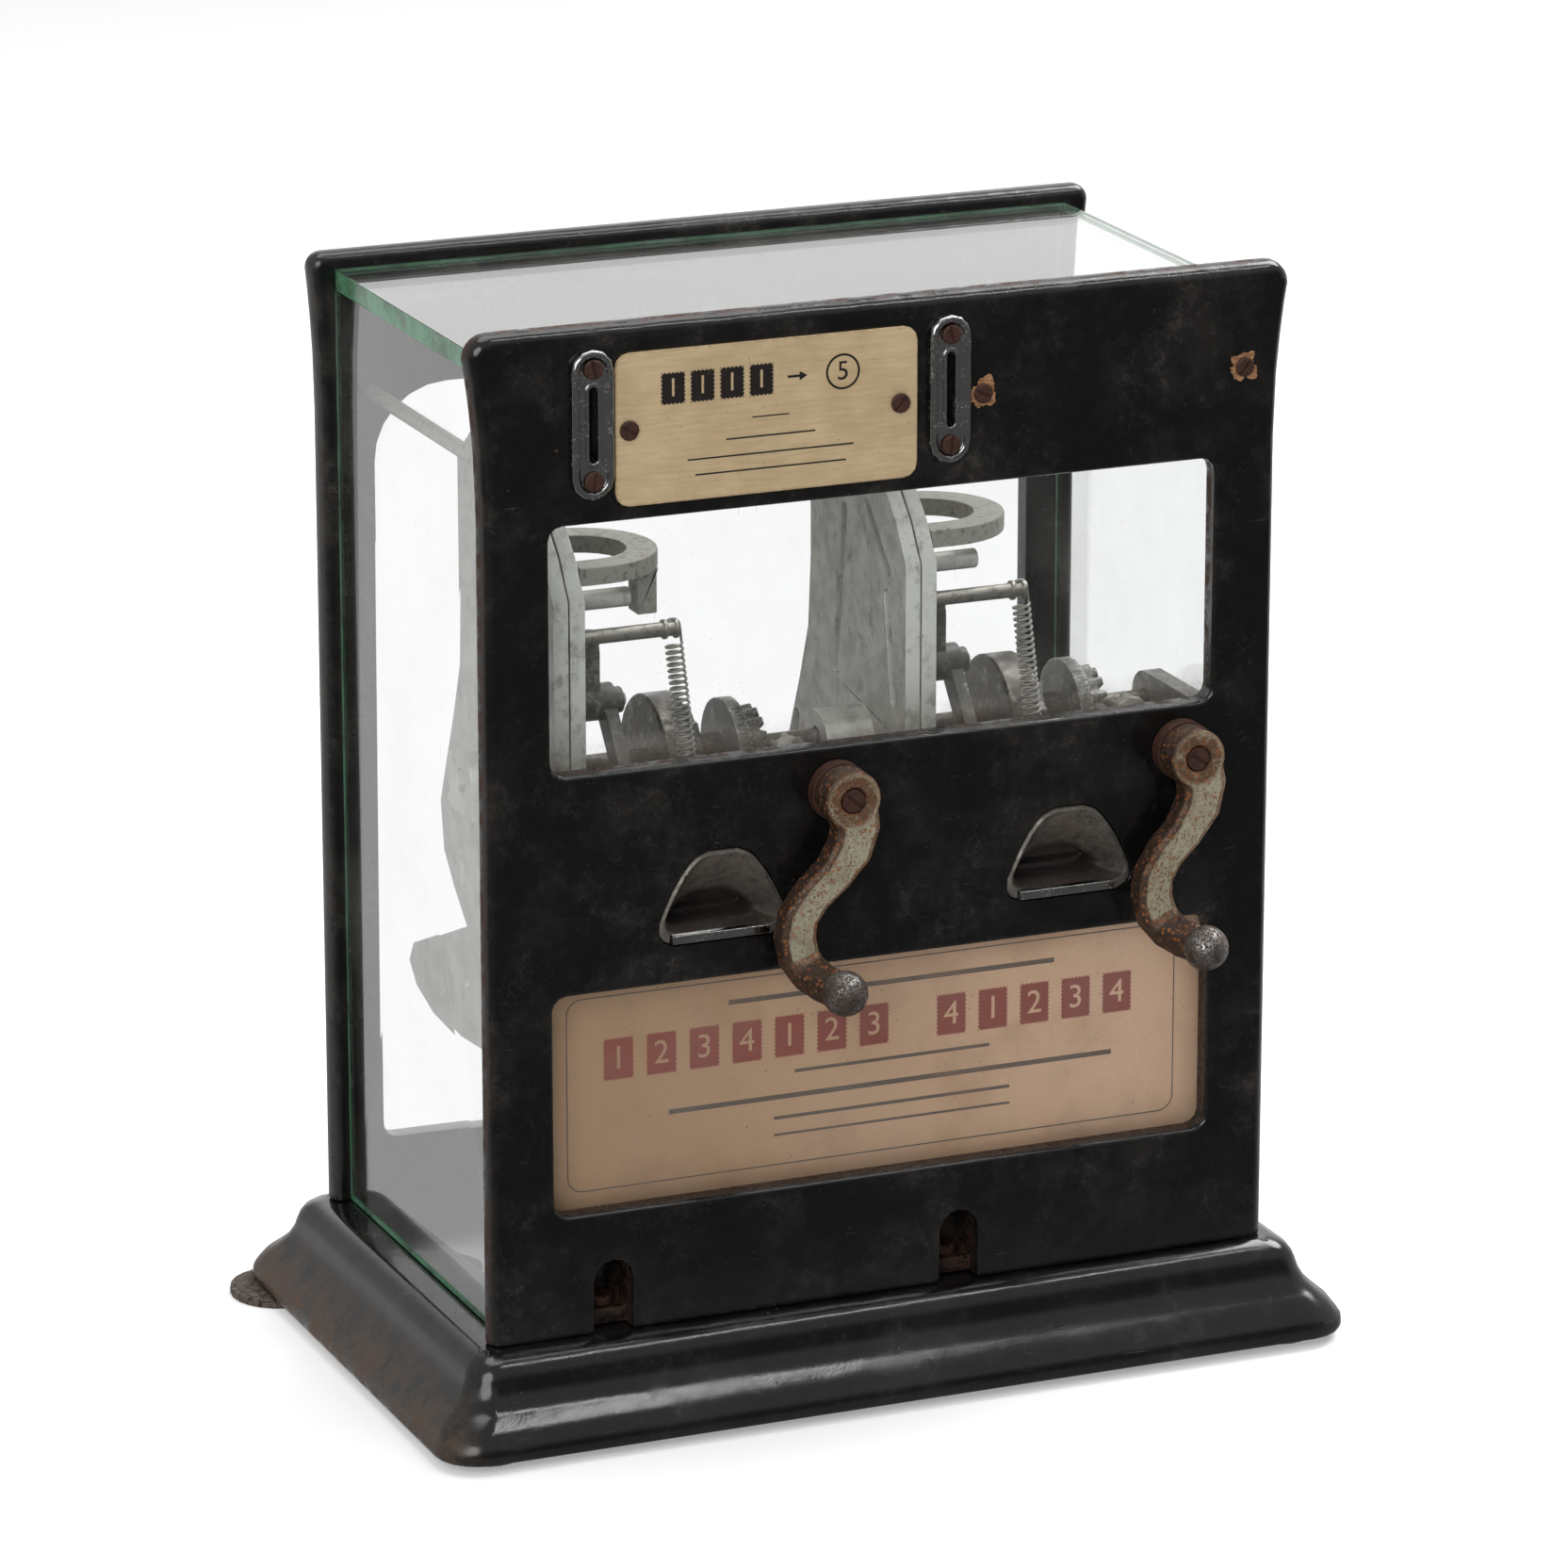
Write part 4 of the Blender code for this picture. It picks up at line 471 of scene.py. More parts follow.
def outlet_nickel():
    """Cast outlet with dull grey nickel in its mouth, rust creeping over the roof of it, upward
    faces of the mouth painted dark brown, and down the throat near black that is partly dirty iron
    and partly painted shade."""
    tree, surface, place = blank("dull_nickel_outlet")
    # Near black deeper down the throat: partly dirty iron, partly painted shade
    throat_dirt_and_shade = along(tree, place, "Y", throat_starts, throat_full)
    roof = joined(tree, facing(tree, downwards, 0.3, 0.9), patches(tree, place, 4.0, 0.40, 0.62, 6.0, 0.75))
    floor = joined(tree, facing(tree, upwards, 0.4, 0.8), patches(tree, place, 5.0, 0.15, 0.5, 5.0, 0.7))
    tarnish = patches(tree, place, 3.2, 0.38, 0.66, 6.0, 0.75, shift=0.8)
    freckles = joined(tree, pits(tree, place, 1.2, 0.16, 0.34),
                      patches(tree, place, 6.0, 0.45, 0.62, shift=0.4))
    coat(tree, surface, "Base Color", "#7B776F", (tarnish, "#433E38", 0.6), (roof, "#5A3B28", 0.7),
         (floor, "#2C2018", 0.85), (freckles, "#40291C"), (throat_dirt_and_shade, "#1B120D", 0.92))
    coat(tree, surface, "Roughness", 0.42, (tarnish, 0.58), (roof, 0.7), (floor, 0.65), (throat_dirt_and_shade, 0.8))
    coat(tree, surface, "Metallic", 0.7, (roof, 0.3), (floor, 0.2), (throat_dirt_and_shade, 0.0))
    relief(tree, surface, (tarnish, 0.05), (freckles, -0.04))


def zinc_casting(colours, name="zinc_die_casting", dark=0.0):
    """Zinc die casting gone dull: pale grey oxide, with darker runs and cloudy stains. Faces turned to
    the front are painted paler as painted light, and rubbed edges are painted pale, partly wear and
    partly painted highlight. The dark one is oily, with brown grime in patches."""
    tree, surface, place = blank(name, {"Metallic": 0.2})
    clouds = patches(tree, place, 9.0, 0.35, 0.68, 6.0, 0.65)
    runs = patches(tree, place, 5.5, 0.52, 0.68, 6.0, 0.7, stretch=(1, 1, 0.7), shift=0.8)
    grime = joined(tree, patches(tree, place, 5.0, 0.24, 0.52, 6.0, 0.7, shift=1.7), dark)
    spots = joined(tree, pits(tree, place, 2.2, 0.05, 0.13),
                   patches(tree, place, 12.0, 0.42, 0.60, shift=0.3))
    grain = patches(tree, place, 0.6, 0.3, 0.7, 3.0)
    # Pale rubbed edges: partly wear, partly painted highlight
    rubbed = edge_wear(tree, place, 0.7, 0.06, 0.22, 1.0)
    # Faces turned to the front painted pale: painted light
    front_painted_light = joined(tree, facing(tree, to_front, 0.6, 0.9), 1.0 - dark,
                   patches(tree, place, 7.0, 0.20, 0.50, 5.0, 0.7, shift=1.2))
    coat(tree, surface, "Base Color", colours.die_cast, (clouds, "#77736D", 0.5), (front_painted_light, "#DAD8D2", 0.8),
         (runs, "#4F4A45", 0.5), (spots, "#2E2823", 0.7), (grime, "#251D17"), (rubbed, "#CFCDC8", 0.7))
    coat(tree, surface, "Roughness", 0.42, (clouds, 0.58), (grime, 0.36), (rubbed, 0.32))
    relief(tree, surface, (grain, 0.03), (runs, 0.05), (spots, -0.06))


def dull_steel(colours, name="dull_plated_steel", shine=0.0, grimy=0.0, metal=0.8):
    """Turned steel with its plating gone grey: fine turning lines, thin brown bloom and old oil."""
    tree, surface, place = blank(name, {"Metallic": metal})
    lines = patches(tree, place, 0.35, 0.3, 0.7, 2.0, stretch=(3.0, 3.0, 0.4))
    bloom = patches(tree, place, 2.6, 0.50, 0.66, 5.0, 0.7)
    grime = joined(tree, patches(tree, place, 5.5, 0.24, 0.52, 6.0, 0.7, shift=0.6), grimy)
    rubbed = edge_wear(tree, place, 0.4, 0.08, 0.25, 0.8)
    coat(tree, surface, "Base Color", colours.steel, (bloom, "#463C33", 0.6), (grime, "#231B15"),
         (rubbed, "#BCBAB5", 0.5))
    coat(tree, surface, "Roughness", 0.32 - shine, (lines, 0.42 - shine), (bloom, 0.6), (grime, 0.42))
    relief(tree, surface, (lines, 0.008), (bloom, 0.03))


def cream_paint(colours):
    """Cream paint on a metal plate, yellowed and finely streaked along its length, rubbed to brown
    metal round the edge, scarred and spotted here and there."""
    tree, surface, place = blank("cream_painted_plate")
    streaks = patches(tree, place, 1.1, 0.35, 0.72, 4.0, 0.7, stretch=(0.07, 1, 1))
    clouds = patches(tree, place, 17.0, 0.35, 0.7, 5.0, shift=0.4)
    edge = edge_wear(tree, place, 1.3, 0.03, 0.14, 1.4)
    spots = joined(tree, pits(tree, place, 3.0, 0.05, 0.11), patches(tree, place, 9.0, 0.46, 0.6, shift=0.9))
    scars = joined(tree, patches(tree, place, 1.5, 0.63, 0.68, 6.0, 0.75),
                   patches(tree, place, 12.0, 0.48, 0.62, shift=0.2))
    coat(tree, surface, "Base Color", colours.cream, (clouds, "#9D8762", 0.5), (streaks, "#84704F", 0.35),
         (spots, "#50392A", 0.8), (scars, "#5E3D28"), (edge, "#5A3A28"))
    coat(tree, surface, "Roughness", 0.45, (streaks, 0.56), (edge, 0.7))
    relief(tree, surface, (streaks, 0.01), (scars, -0.05))


def sign_paper(name, shaded, sunlit):
    """Printed card gone pink-brown behind its glass, with even fibre and foxing. The card is painted
    darker at its left end and paler towards the right: painted shade and painted light. Ink lies in
    the fibre, so it is foxed as the card is."""
    tree, surface, place = blank(name, {"Roughness": 0.8, "Specular IOR Level": 0.2})
    # Painted light: the card runs from painted shade at the left end to painted light at the right
    light = along(tree, place, "X", card_shaded, card_sunlit)
    fibre = patches(tree, place, 0.5, 0.3, 0.7, 3.0, stretch=(0.5, 1, 1))
    foxing = patches(tree, place, 22.0, 0.45, 0.75, 5.0, 0.6, shift=0.6)
    spots = pits(tree, place, 6.0, 0.03, 0.07)
    coat(tree, surface, "Base Color", shaded, (light, sunlit), (foxing, "#8C6A52", 0.35),
         (fibre, "#6E5646", 0.12), (spots, "#4A3426", 0.6))
    relief(tree, surface, (fibre, 0.01))


def plate_ink(colours):
    """Screened black ink on the cream plate, a little rubbed, so that the cream shows in specks."""
    tree, surface, place = blank("screened_black_ink", {"Roughness": 0.45})
    rubbed = patches(tree, place, 0.8, 0.66, 0.70, 4.0, 0.7)
    coat(tree, surface, "Base Color", colours.black_ink, (rubbed, "#8F7753", 0.7))


def rusted_sheet(colours):
    """Sheet steel behind the card, rusted red-brown in sheets and flakes."""
    tree, surface, place = blank("rusted_sheet_steel", {"Metallic": 0.2, "Roughness": 0.75})
    sheets = patches(tree, place, 8.0, 0.35, 0.7, 6.0, 0.7)
    flakes = patches(tree, place, 1.2, 0.5, 0.66, 5.0, 0.7, shift=0.3)
    coat(tree, surface, "Base Color", colours.rust, (sheets, "#6E4128", 0.6), (flakes, "#2B1A12", 0.5))
    relief(tree, surface, (flakes, 0.08))


def old_rubber(colours):
    """Rubber foot gone hard: dull grey-brown, crazed into cells and dusty on top."""
    tree, surface, place = blank("perished_rubber", {"Roughness": 0.85, "Specular IOR Level": 0.3})
    cells = add_node(tree, "ShaderNodeTexVoronoi", {"Vector": place, "Scale": per_metre(4.2)},
                     feature="DISTANCE_TO_EDGE").outputs["Distance"]
    cracks = add_node(tree, "ShaderNodeMapRange", {
        "Value": cells, "From Min": 0.07, "From Max": 0.0}).outputs[0]
    dust = patches(tree, place, 2.0, 0.35, 0.7, 5.0, 0.7)
    coat(tree, surface, "Base Color", colours.rubber, (dust, "#7B7067", 0.5), (cracks, "#1C1613"))
    relief(tree, surface, (dust, 0.08), (cracks, -0.3))


def torn_fibre():
    """Torn vulcanised fibre left under a screw: tan, ragged and matt."""
    tree, surface, place = blank("torn_red_fibre", {"Roughness": 0.9, "Specular IOR Level": 0.2})
    strands = patches(tree, place, 0.7, 0.3, 0.7, 4.0, 0.7, stretch=(0.3, 1, 1))
    coat(tree, surface, "Base Color", "#A07A58", (strands, "#6A4730"))
    relief(tree, surface, (strands, 0.1))


def make_finishes(colours):
    """Every finish that the pieces have."""
    japanned_iron(colours)
    japanned_iron(colours, "dusty_japanned_cast_iron", dust=0.07, left_dust_and_sheen=0.10, reveals=0.0)
    japanned_iron(colours, "rubbed_japanned_cast_iron", dust=0.0, left_dust_and_sheen=0.05, reveals=0.0, rusting=1.0,
                  waves=0.10)
    clear_glass()
    clear_glass("grimy_window_glass", window_foot)
    green_edge(colours)
    rusted_iron()
    pitted_chrome(colours)
    pitted_chrome(colours, "chrome_knob", pitting=1.0)
    worn_nickel(colours, [middle("crank_screw_" + side) for side in sides])
    outlet_nickel()
    zinc_casting(colours)
    zinc_casting(colours, "oily_zinc_casting", dark=0.8)
    dull_steel(colours)
    dull_steel(colours, "oily_steel", grimy=0.8)
    dull_steel(colours, "bright_spring_steel", shine=0.05, metal=0.4)
    dull_steel(colours, "chalky_magnet_steel", shine=-0.15, metal=0.1)
    cream_paint(colours)
    plate_ink(colours)
    sign_paper("aged_sign_card", colours.shaded_card, colours.card)
    sign_paper("faded_red_print", colours.red_ink, colours.red_ink)
    sign_paper("faded_grey_print", colours.grey_ink, colours.grey_ink)
    rusted_sheet(colours)
    old_rubber(colours)
    torn_fibre()


def finish(name):
    """A finish by its name. All of them are made when the first is asked for."""
    if name not in bpy.data.materials:
        make_finishes(bpy.context.scene.stamp_machine_colours)
    return bpy.data.materials[name]


# Making of shapes and prints


def finish_piece(name, shape, finishes, body="case", replaced=None, crease=crease_angle, even=True):
    """Make an object of a bmesh, shade it, give it its finishes and let it ride on a body."""
    mesh = bpy.data.meshes.new(name)
    shape.to_mesh(mesh)
    shape.free()
    piece = bpy.data.objects.new(name, mesh)
    bpy.context.scene.collection.objects.link(piece)
    for one in finishes:
        mesh.materials.append(finish(one))
    mesh.polygons.foreach_set("use_smooth", [True] * len(mesh.polygons))
    mesh.set_sharp_from_angle(angle=crease)
    if even:
        weighted = piece.modifiers.new("even_normals", "WEIGHTED_NORMAL")
        weighted.keep_sharp = True
    if replaced:
        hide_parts(replaced)
    if body:
        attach(piece, body)
    return piece


def body_of(node):
    """The body that carries a CAD node."""
    return frame["nodes"][node]["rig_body"]


def middle(node):
    low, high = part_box(node)
    return (low + high) / 2


def merged(node):
    """Bmesh of a CAD node with its loose triangles merged."""
    shape = bmesh.new()
    shape.from_mesh(frame["nodes"][node].data)
    bmesh.ops.remove_doubles(shape, verts=shape.verts, dist=merge_distance)
    return shape


def round_edges(shape, radius, sharper_than=crease_angle, segments=2):
    """Round each edge that turns more than an angle."""
    sharp = [edge for edge in shape.edges if edge.is_manifold and edge.calc_face_angle(0) > sharper_than]
    bmesh.ops.bevel(shape, geom=sharp, offset=radius, offset_type="OFFSET", segments=segments, profile=0.5,
                    affect="EDGES", clamp_overlap=False, material=-1)


def dressed(node, finish_name, radius, sharper_than=crease_angle, segments=2):
    """A refined copy of a CAD node stands for it."""
    shape = merged(node)
    if radius:
        round_edges(shape, radius, sharper_than, segments)
    finish_piece(node + "_dressed", shape, [finish_name], body_of(node), node)


def evaluated(maker):
    """The mesh that an object gives with its modifiers. The object is removed again."""
    bpy.context.scene.collection.objects.link(maker)
    bpy.context.view_layer.update()
    mesh = bpy.data.meshes.new_from_object(maker.evaluated_get(bpy.context.evaluated_depsgraph_get()))
    bpy.data.objects.remove(maker)
    return mesh


def moved(place, across, up, out=0):
    """A place moved across and up on the front, and out towards the viewer."""
    return place + Vector((across, -out, up))


def on_front(place):
    """Matrix that stands a flat shape up at a place, facing the front."""
    return Matrix.Translation(place) @ upright


def print_bar(shape, place, width, height):
    """A thin printed bar on a plane that faces the front."""
    size = Matrix.Diagonal((width, print_thickness, height, 1))
    bmesh.ops.create_cube(shape, size=1, matrix=Matrix.Translation(place) @ size)


def print_disc(shape, place, radius, segments=10):
    """A thin printed disc on a plane that faces the front, or a triangle where it has three segments."""
    return bmesh.ops.create_cone(shape, cap_ends=True, segments=segments, radius1=radius, radius2=radius,
                                 depth=print_thickness, matrix=on_front(place))["verts"]


def print_ring(shape, place, radius, width, start=0, sweep=2 * pi, segments=48):
    """A printed ring, or a part of one, spun round an axis that points at the viewer."""
    outwards = Vector((cos(start), 0, sin(start)))
    corners = []
    for side, out in ((-1, 1), (1, 1), (1, -1), (-1, -1)):
        corner = place + outwards * (radius + side * width / 2)
        corners.append(shape.verts.new(moved(corner, 0, 0, out * print_thickness / 2)))
    lines = [shape.edges.new((corners[n], corners[(n + 1) % 4])) for n in range(4)]
    is_full = sweep >= 2 * pi
    made = bmesh.ops.spin(shape, geom=lines, cent=place, axis=to_front, angle=sweep, steps=segments,
                          use_merge=is_full)
    if not is_full:
        shape.faces.new(corners)
        bmesh.ops.contextual_create(shape, geom=corners_in(made["geom_last"]))


def corners_in(geometry):
    return [item for item in geometry if isinstance(item, bmesh.types.BMVert)]


def print_number(shape, text, place, height):
    """A plain numeral, made a mesh and then put in its place."""
    curve = bpy.data.curves.new("numeral", "FONT")
    curve.body = text
    curve.align_x = "CENTER"
    curve.align_y = "CENTER"
    curve.size = height / capital_share
    curve.extrude = print_thickness / 2
    curve.resolution_u = 4
    mesh = evaluated(bpy.data.objects.new("numeral", curve))
    mesh.transform(on_front(place))
    shape.from_mesh(mesh)
    bpy.data.curves.remove(curve)
    bpy.data.meshes.remove(mesh)


def print_stamp(ink, bites, place, size, text, numeral):
    """A printed stamp: a block with perforations bitten out of its edges and a numeral in it."""
    width, height = size
    print_bar(ink, place, width, height)
    columns, rows = round(width / perforation_pitch), round(height / perforation_pitch)
    for n in range(columns):
        across = (n + 0.5 - columns / 2) * width / columns
        for edge in (-1, 1):
            print_disc(bites, moved(place, across, edge * height / 2, print_thickness), perforation_radius)
    for n in range(rows):
        up = (n + 0.5 - rows / 2) * height / rows
        for edge in (-1, 1):
            print_disc(bites, moved(place, edge * width / 2, up, print_thickness), perforation_radius)
    print_number(bites, text, moved(place, 0, 0, print_thickness), numeral)


# Pieces


class StampCastings(bpy.types.Operator):
    """Base, front and back castings in black enamel"""
    bl_idname = "stamp_machine.castings"
    bl_label = "Castings"

    def execute(self, context):
        radius = context.scene.stamp_machine_sizes.casting_round
        dressed("front_casting", "japanned_cast_iron", radius)
        dressed("back_casting", "dusty_japanned_cast_iron", radius)
        dressed("base_casting", "rubbed_japanned_cast_iron", radius)
        return {"FINISHED"}


class StampFeet(bpy.types.Operator):
    """Rubber discs under the base, one of them slipped out and cracked"""
    bl_idname = "stamp_machine.feet"
    bl_label = "Feet"

    def execute(self, context):
        for node in ("foot_front_left", "foot_front_right", "foot_rear_left", "foot_rear_right"):
            dressed(node, "perished_rubber", context.scene.stamp_machine_sizes.foot_round)
        return {"FINISHED"}


class StampGlass(bpy.types.Operator):
    """Panes of the case and the two front glasses, with green cut edges"""
    bl_idname = "stamp_machine.glass"
    bl_label = "Glass"

    def execute(self, context):
        sizes = context.scene.stamp_machine_sizes
        thin_axes = {"left_glass": 0, "right_glass": 0, "top_glass": 2, "window_glass": 1, "sign_glass": 1}
        for node, axis in thin_axes.items():
            shape = merged(node)
            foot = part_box(node)[0].z + (sizes.green_foot if axis == 0 else -sizes.green_foot)
            if axis == 0:
                bmesh.ops.bisect_plane(shape, geom=shape.verts[:] + shape.edges[:] + shape.faces[:],
                                       plane_co=(0, 0, foot), plane_no=upwards)
            for face in shape.faces:
                is_pane = abs(face.normal[axis]) > 0.5 and face.calc_center_median().z > foot
                face.material_index = 0 if is_pane else 1
            round_edges(shape, sizes.glass_round, segments=1)
            pane = "grimy_window_glass" if node == "window_glass" else "plate_glass"
            finish_piece(node + "_pane", shape, [pane, "cut_glass_edge"], body_of(node), node)
        return {"FINISHED"}


class StampPricePlate(bpy.types.Operator):
    """Cream plate with a generic print: stamps, a coin and the way to turn, with plain numbers"""
    bl_idname = "stamp_machine.price_plate"
    bl_label = "Price Plate"

    def arrow(self, ink, row):
        """A short bar with a triangle at its right end."""
        head = print_disc(ink, Vector(), arrow_head_radius, 3)
        turned = Matrix.Translation(moved(row, arrow_head_across, 0)) @ Matrix.Rotation(pi / 2, 4, "Y")
        bmesh.ops.transform(ink, matrix=turned, verts=head)
        print_bar(ink, moved(row, arrow_tail_across, 0), *arrow_tail)

    def execute(self, context):
        sizes = context.scene.stamp_machine_sizes
        dressed("price_plate", "cream_painted_plate", sizes.plate_round)
        centre = middle("price_plate")
        centre.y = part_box("price_plate")[0].y - print_thickness / 2
        row = moved(centre, 0, plate_row_up)
        ink, bites = bmesh.new(), bmesh.new()
        for n in range(plate_stamps):
            place = moved(row, plate_stamp_first + n * plate_stamp_pitch, 0)
            print_stamp(ink, bites, place, plate_stamp_size, "1", plate_stamp_numeral)
        coin = moved(row, coin_across, 0)
        print_ring(ink, coin, coin_radius, coin_line)
        print_number(ink, "5", coin, coin_numeral)
        for width, height, up in ((0.012, 0.0004, 0.0002), (0.029, 0.0005, -0.0058), (0.054, 0.0005, -0.0110),
                                  (0.049, 0.0005, -0.0158)):
            print_bar(ink, moved(centre, plate_bars_across, up), width, height)
        self.arrow(ink, row)
        finish_piece("price_plate_print", ink, ["screened_black_ink"], even=False)
        finish_piece("price_plate_numbers", bites, ["cream_painted_plate"], even=False)
        return {"FINISHED"}


class StampSign(bpy.types.Operator):
    """Card behind the lower glass with a generic print, and its rusted backing"""
    bl_idname = "stamp_machine.sign"
    bl_label = "Sign"

    def border(self, ink, centre, line):
        """A line round the card with rounded corners."""
        width, height = border_size
        for side in (-1, 1):
            print_bar(ink, moved(centre, 0, side * height / 2), width - 2 * border_corner, line)
            print_bar(ink, moved(centre, side * width / 2, 0), line, height - 2 * border_corner)
            for up in (-1, 1):
                start = {(1, 1): 0, (-1, 1): pi / 2, (-1, -1): pi, (1, -1): 3 * pi / 2}[(side, up)]
                corner = moved(centre, side * (width / 2 - border_corner), up * (height / 2 - border_corner))
                print_ring(ink, corner, border_corner, line, start, pi / 2, 8)

    def execute(self, context):
        sizes = context.scene.stamp_machine_sizes
        dressed("sign_card", "aged_sign_card", 0)
        dressed("sign_backing", "rusted_sheet_steel", sizes.sheet_round)
        centre = middle("sign_card")
        centre.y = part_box("sign_card")[0].y - print_thickness / 2
        red, grey, bites = bmesh.new(), bmesh.new(), bmesh.new()
        for n in range(sign_stamps):
            gap = 0 if n < sign_stamps_before_gap else sign_stamp_gap
            place = moved(centre, sign_stamp_first + n * sign_stamp_pitch + gap, sign_row_up)
            print_stamp(red, bites, place, sign_stamp_size, str(n % 4 + 1), sign_stamp_numeral)
        for width, height, up in ((0.110, 0.0016, 0.0238), (0.066, 0.0011, -0.0012), (0.150, 0.0016, -0.0090),
                                  (0.080, 0.0011, -0.0158), (0.080, 0.0008, -0.0213)):
            print_bar(grey, moved(centre, sign_bars_across, up), width, height)
        self.border(grey, centre, sizes.rule_width)
        finish_piece("sign_red_print", red, ["faded_red_print"], even=False)
        finish_piece("sign_grey_print", grey, ["faded_grey_print"], even=False)
        finish_piece("sign_numbers", bites, ["aged_sign_card"], even=False)
        return {"FINISHED"}


class StampCoinPlates(bpy.types.Operator):
    """Pitted chrome plates round the coin slots"""
    bl_idname = "stamp_machine.coin_plates"
    bl_label = "Coin Plates"

    def execute(self, context):
        radius = context.scene.stamp_machine_sizes.fitting_round
        for side in sides:
            dressed("coin_plate_" + side, "pitted_chrome_plate", radius, segments=3)
        return {"FINISHED"}


class StampOutlets(bpy.types.Operator):
    """Stamp outlets and their tear bars"""
    bl_idname = "stamp_machine.outlets"
    bl_label = "Stamp Outlets"

    def execute(self, context):
        radius = context.scene.stamp_machine_sizes.fitting_round
        for side in sides:
            dressed("outlet_" + side, "dull_nickel_outlet", radius, outlet_crease)
            dressed("tear_bar_" + side, "pitted_chrome_plate", radius)
        return {"FINISHED"}


class StampCranks(bpy.types.Operator):
    """Crank arms with polished knobs, their screws, shafts and flanged bushes"""
    bl_idname = "stamp_machine.cranks"
    bl_label = "Cranks"

    def grained_arm(self, node, sizes):
        """The arm remeshed in small cells, eased, and pitted by noise."""
        shape = merged(node)
        mesh = bpy.data.meshes.new("arm")
        shape.to_mesh(mesh)
        shape.clear()
        maker = bpy.data.objects.new("arm", mesh)
        cells = maker.modifiers.new("cells", "REMESH")
        cells.mode = "VOXEL"
        cells.voxel_size = sizes.arm_voxel
        shape.from_mesh(evaluated(maker))
        for _ in range(arm_smoothings):
            bmesh.ops.smooth_vert(shape, verts=shape.verts, factor=0.5, use_axis_x=True, use_axis_y=True,
                                  use_axis_z=True)
        shape.normal_update()
        # Scale swells in patches of a few millimetres, and pits of about one millimetre cut into it
        for vert in shape.verts:
            scale = noise.fractal(vert.co * per_metre(2.5), 0.8, 2.0, 4)
            pit = min(0.0, noise.noise(vert.co * per_metre(1.0)) + 0.25)
            vert.co += vert.normal * sizes.arm_pit * (0.45 * scale + 1.2 * pit - 0.2)
        return shape

    def knob(self, side, sizes):
        """The round knob, at the end of its arm."""
        hub = middle("crank_bush_" + side)
        hub.y = hub_y
        place = hub + Matrix.Rotation(arm_turn[side], 3, "Y") @ knob_from_hub
        shape = bmesh.new()
        bmesh.ops.create_uvsphere(shape, u_segments=48, v_segments=32, radius=sizes.knob_radius,
                                  matrix=on_front(place))
        finish_piece("crank_knob_" + side, shape, ["chrome_knob"], "crank_" + side, even=False)

    def execute(self, context):
        sizes = context.scene.stamp_machine_sizes
        for side in sides:
            arm = "crank_arm_" + side
            finish_piece(arm + "_grained", self.grained_arm(arm, sizes), ["worn_nickel_plate"],
                         body_of(arm), arm, crease=arm_crease, even=False)
            self.knob(side, sizes)
            dressed("crank_screw_" + side, "rusted_screw_iron", sizes.fitting_round)
            dressed("crank_shaft_" + side, "dull_plated_steel", sizes.fitting_round)
            dressed("crank_bush_" + side, "rusted_screw_iron", sizes.fitting_round)
        return {"FINISHED"}


class StampChutes(bpy.types.Operator):
    """Coin chutes and the magnets that hold back steel slugs"""
    bl_idname = "stamp_machine.chutes"
    bl_label = "Coin Chutes"

    def execute(self, context):
        radius = context.scene.stamp_machine_sizes.casting_round
        for side in sides:
            dressed("chute_inner_" + side, "zinc_die_casting", radius, chute_crease)
            dressed("chute_outer_" + side, "zinc_die_casting", radius, chute_crease)
            dressed("slug_magnet_" + side, "chalky_magnet_steel", radius)
        return {"FINISHED"}


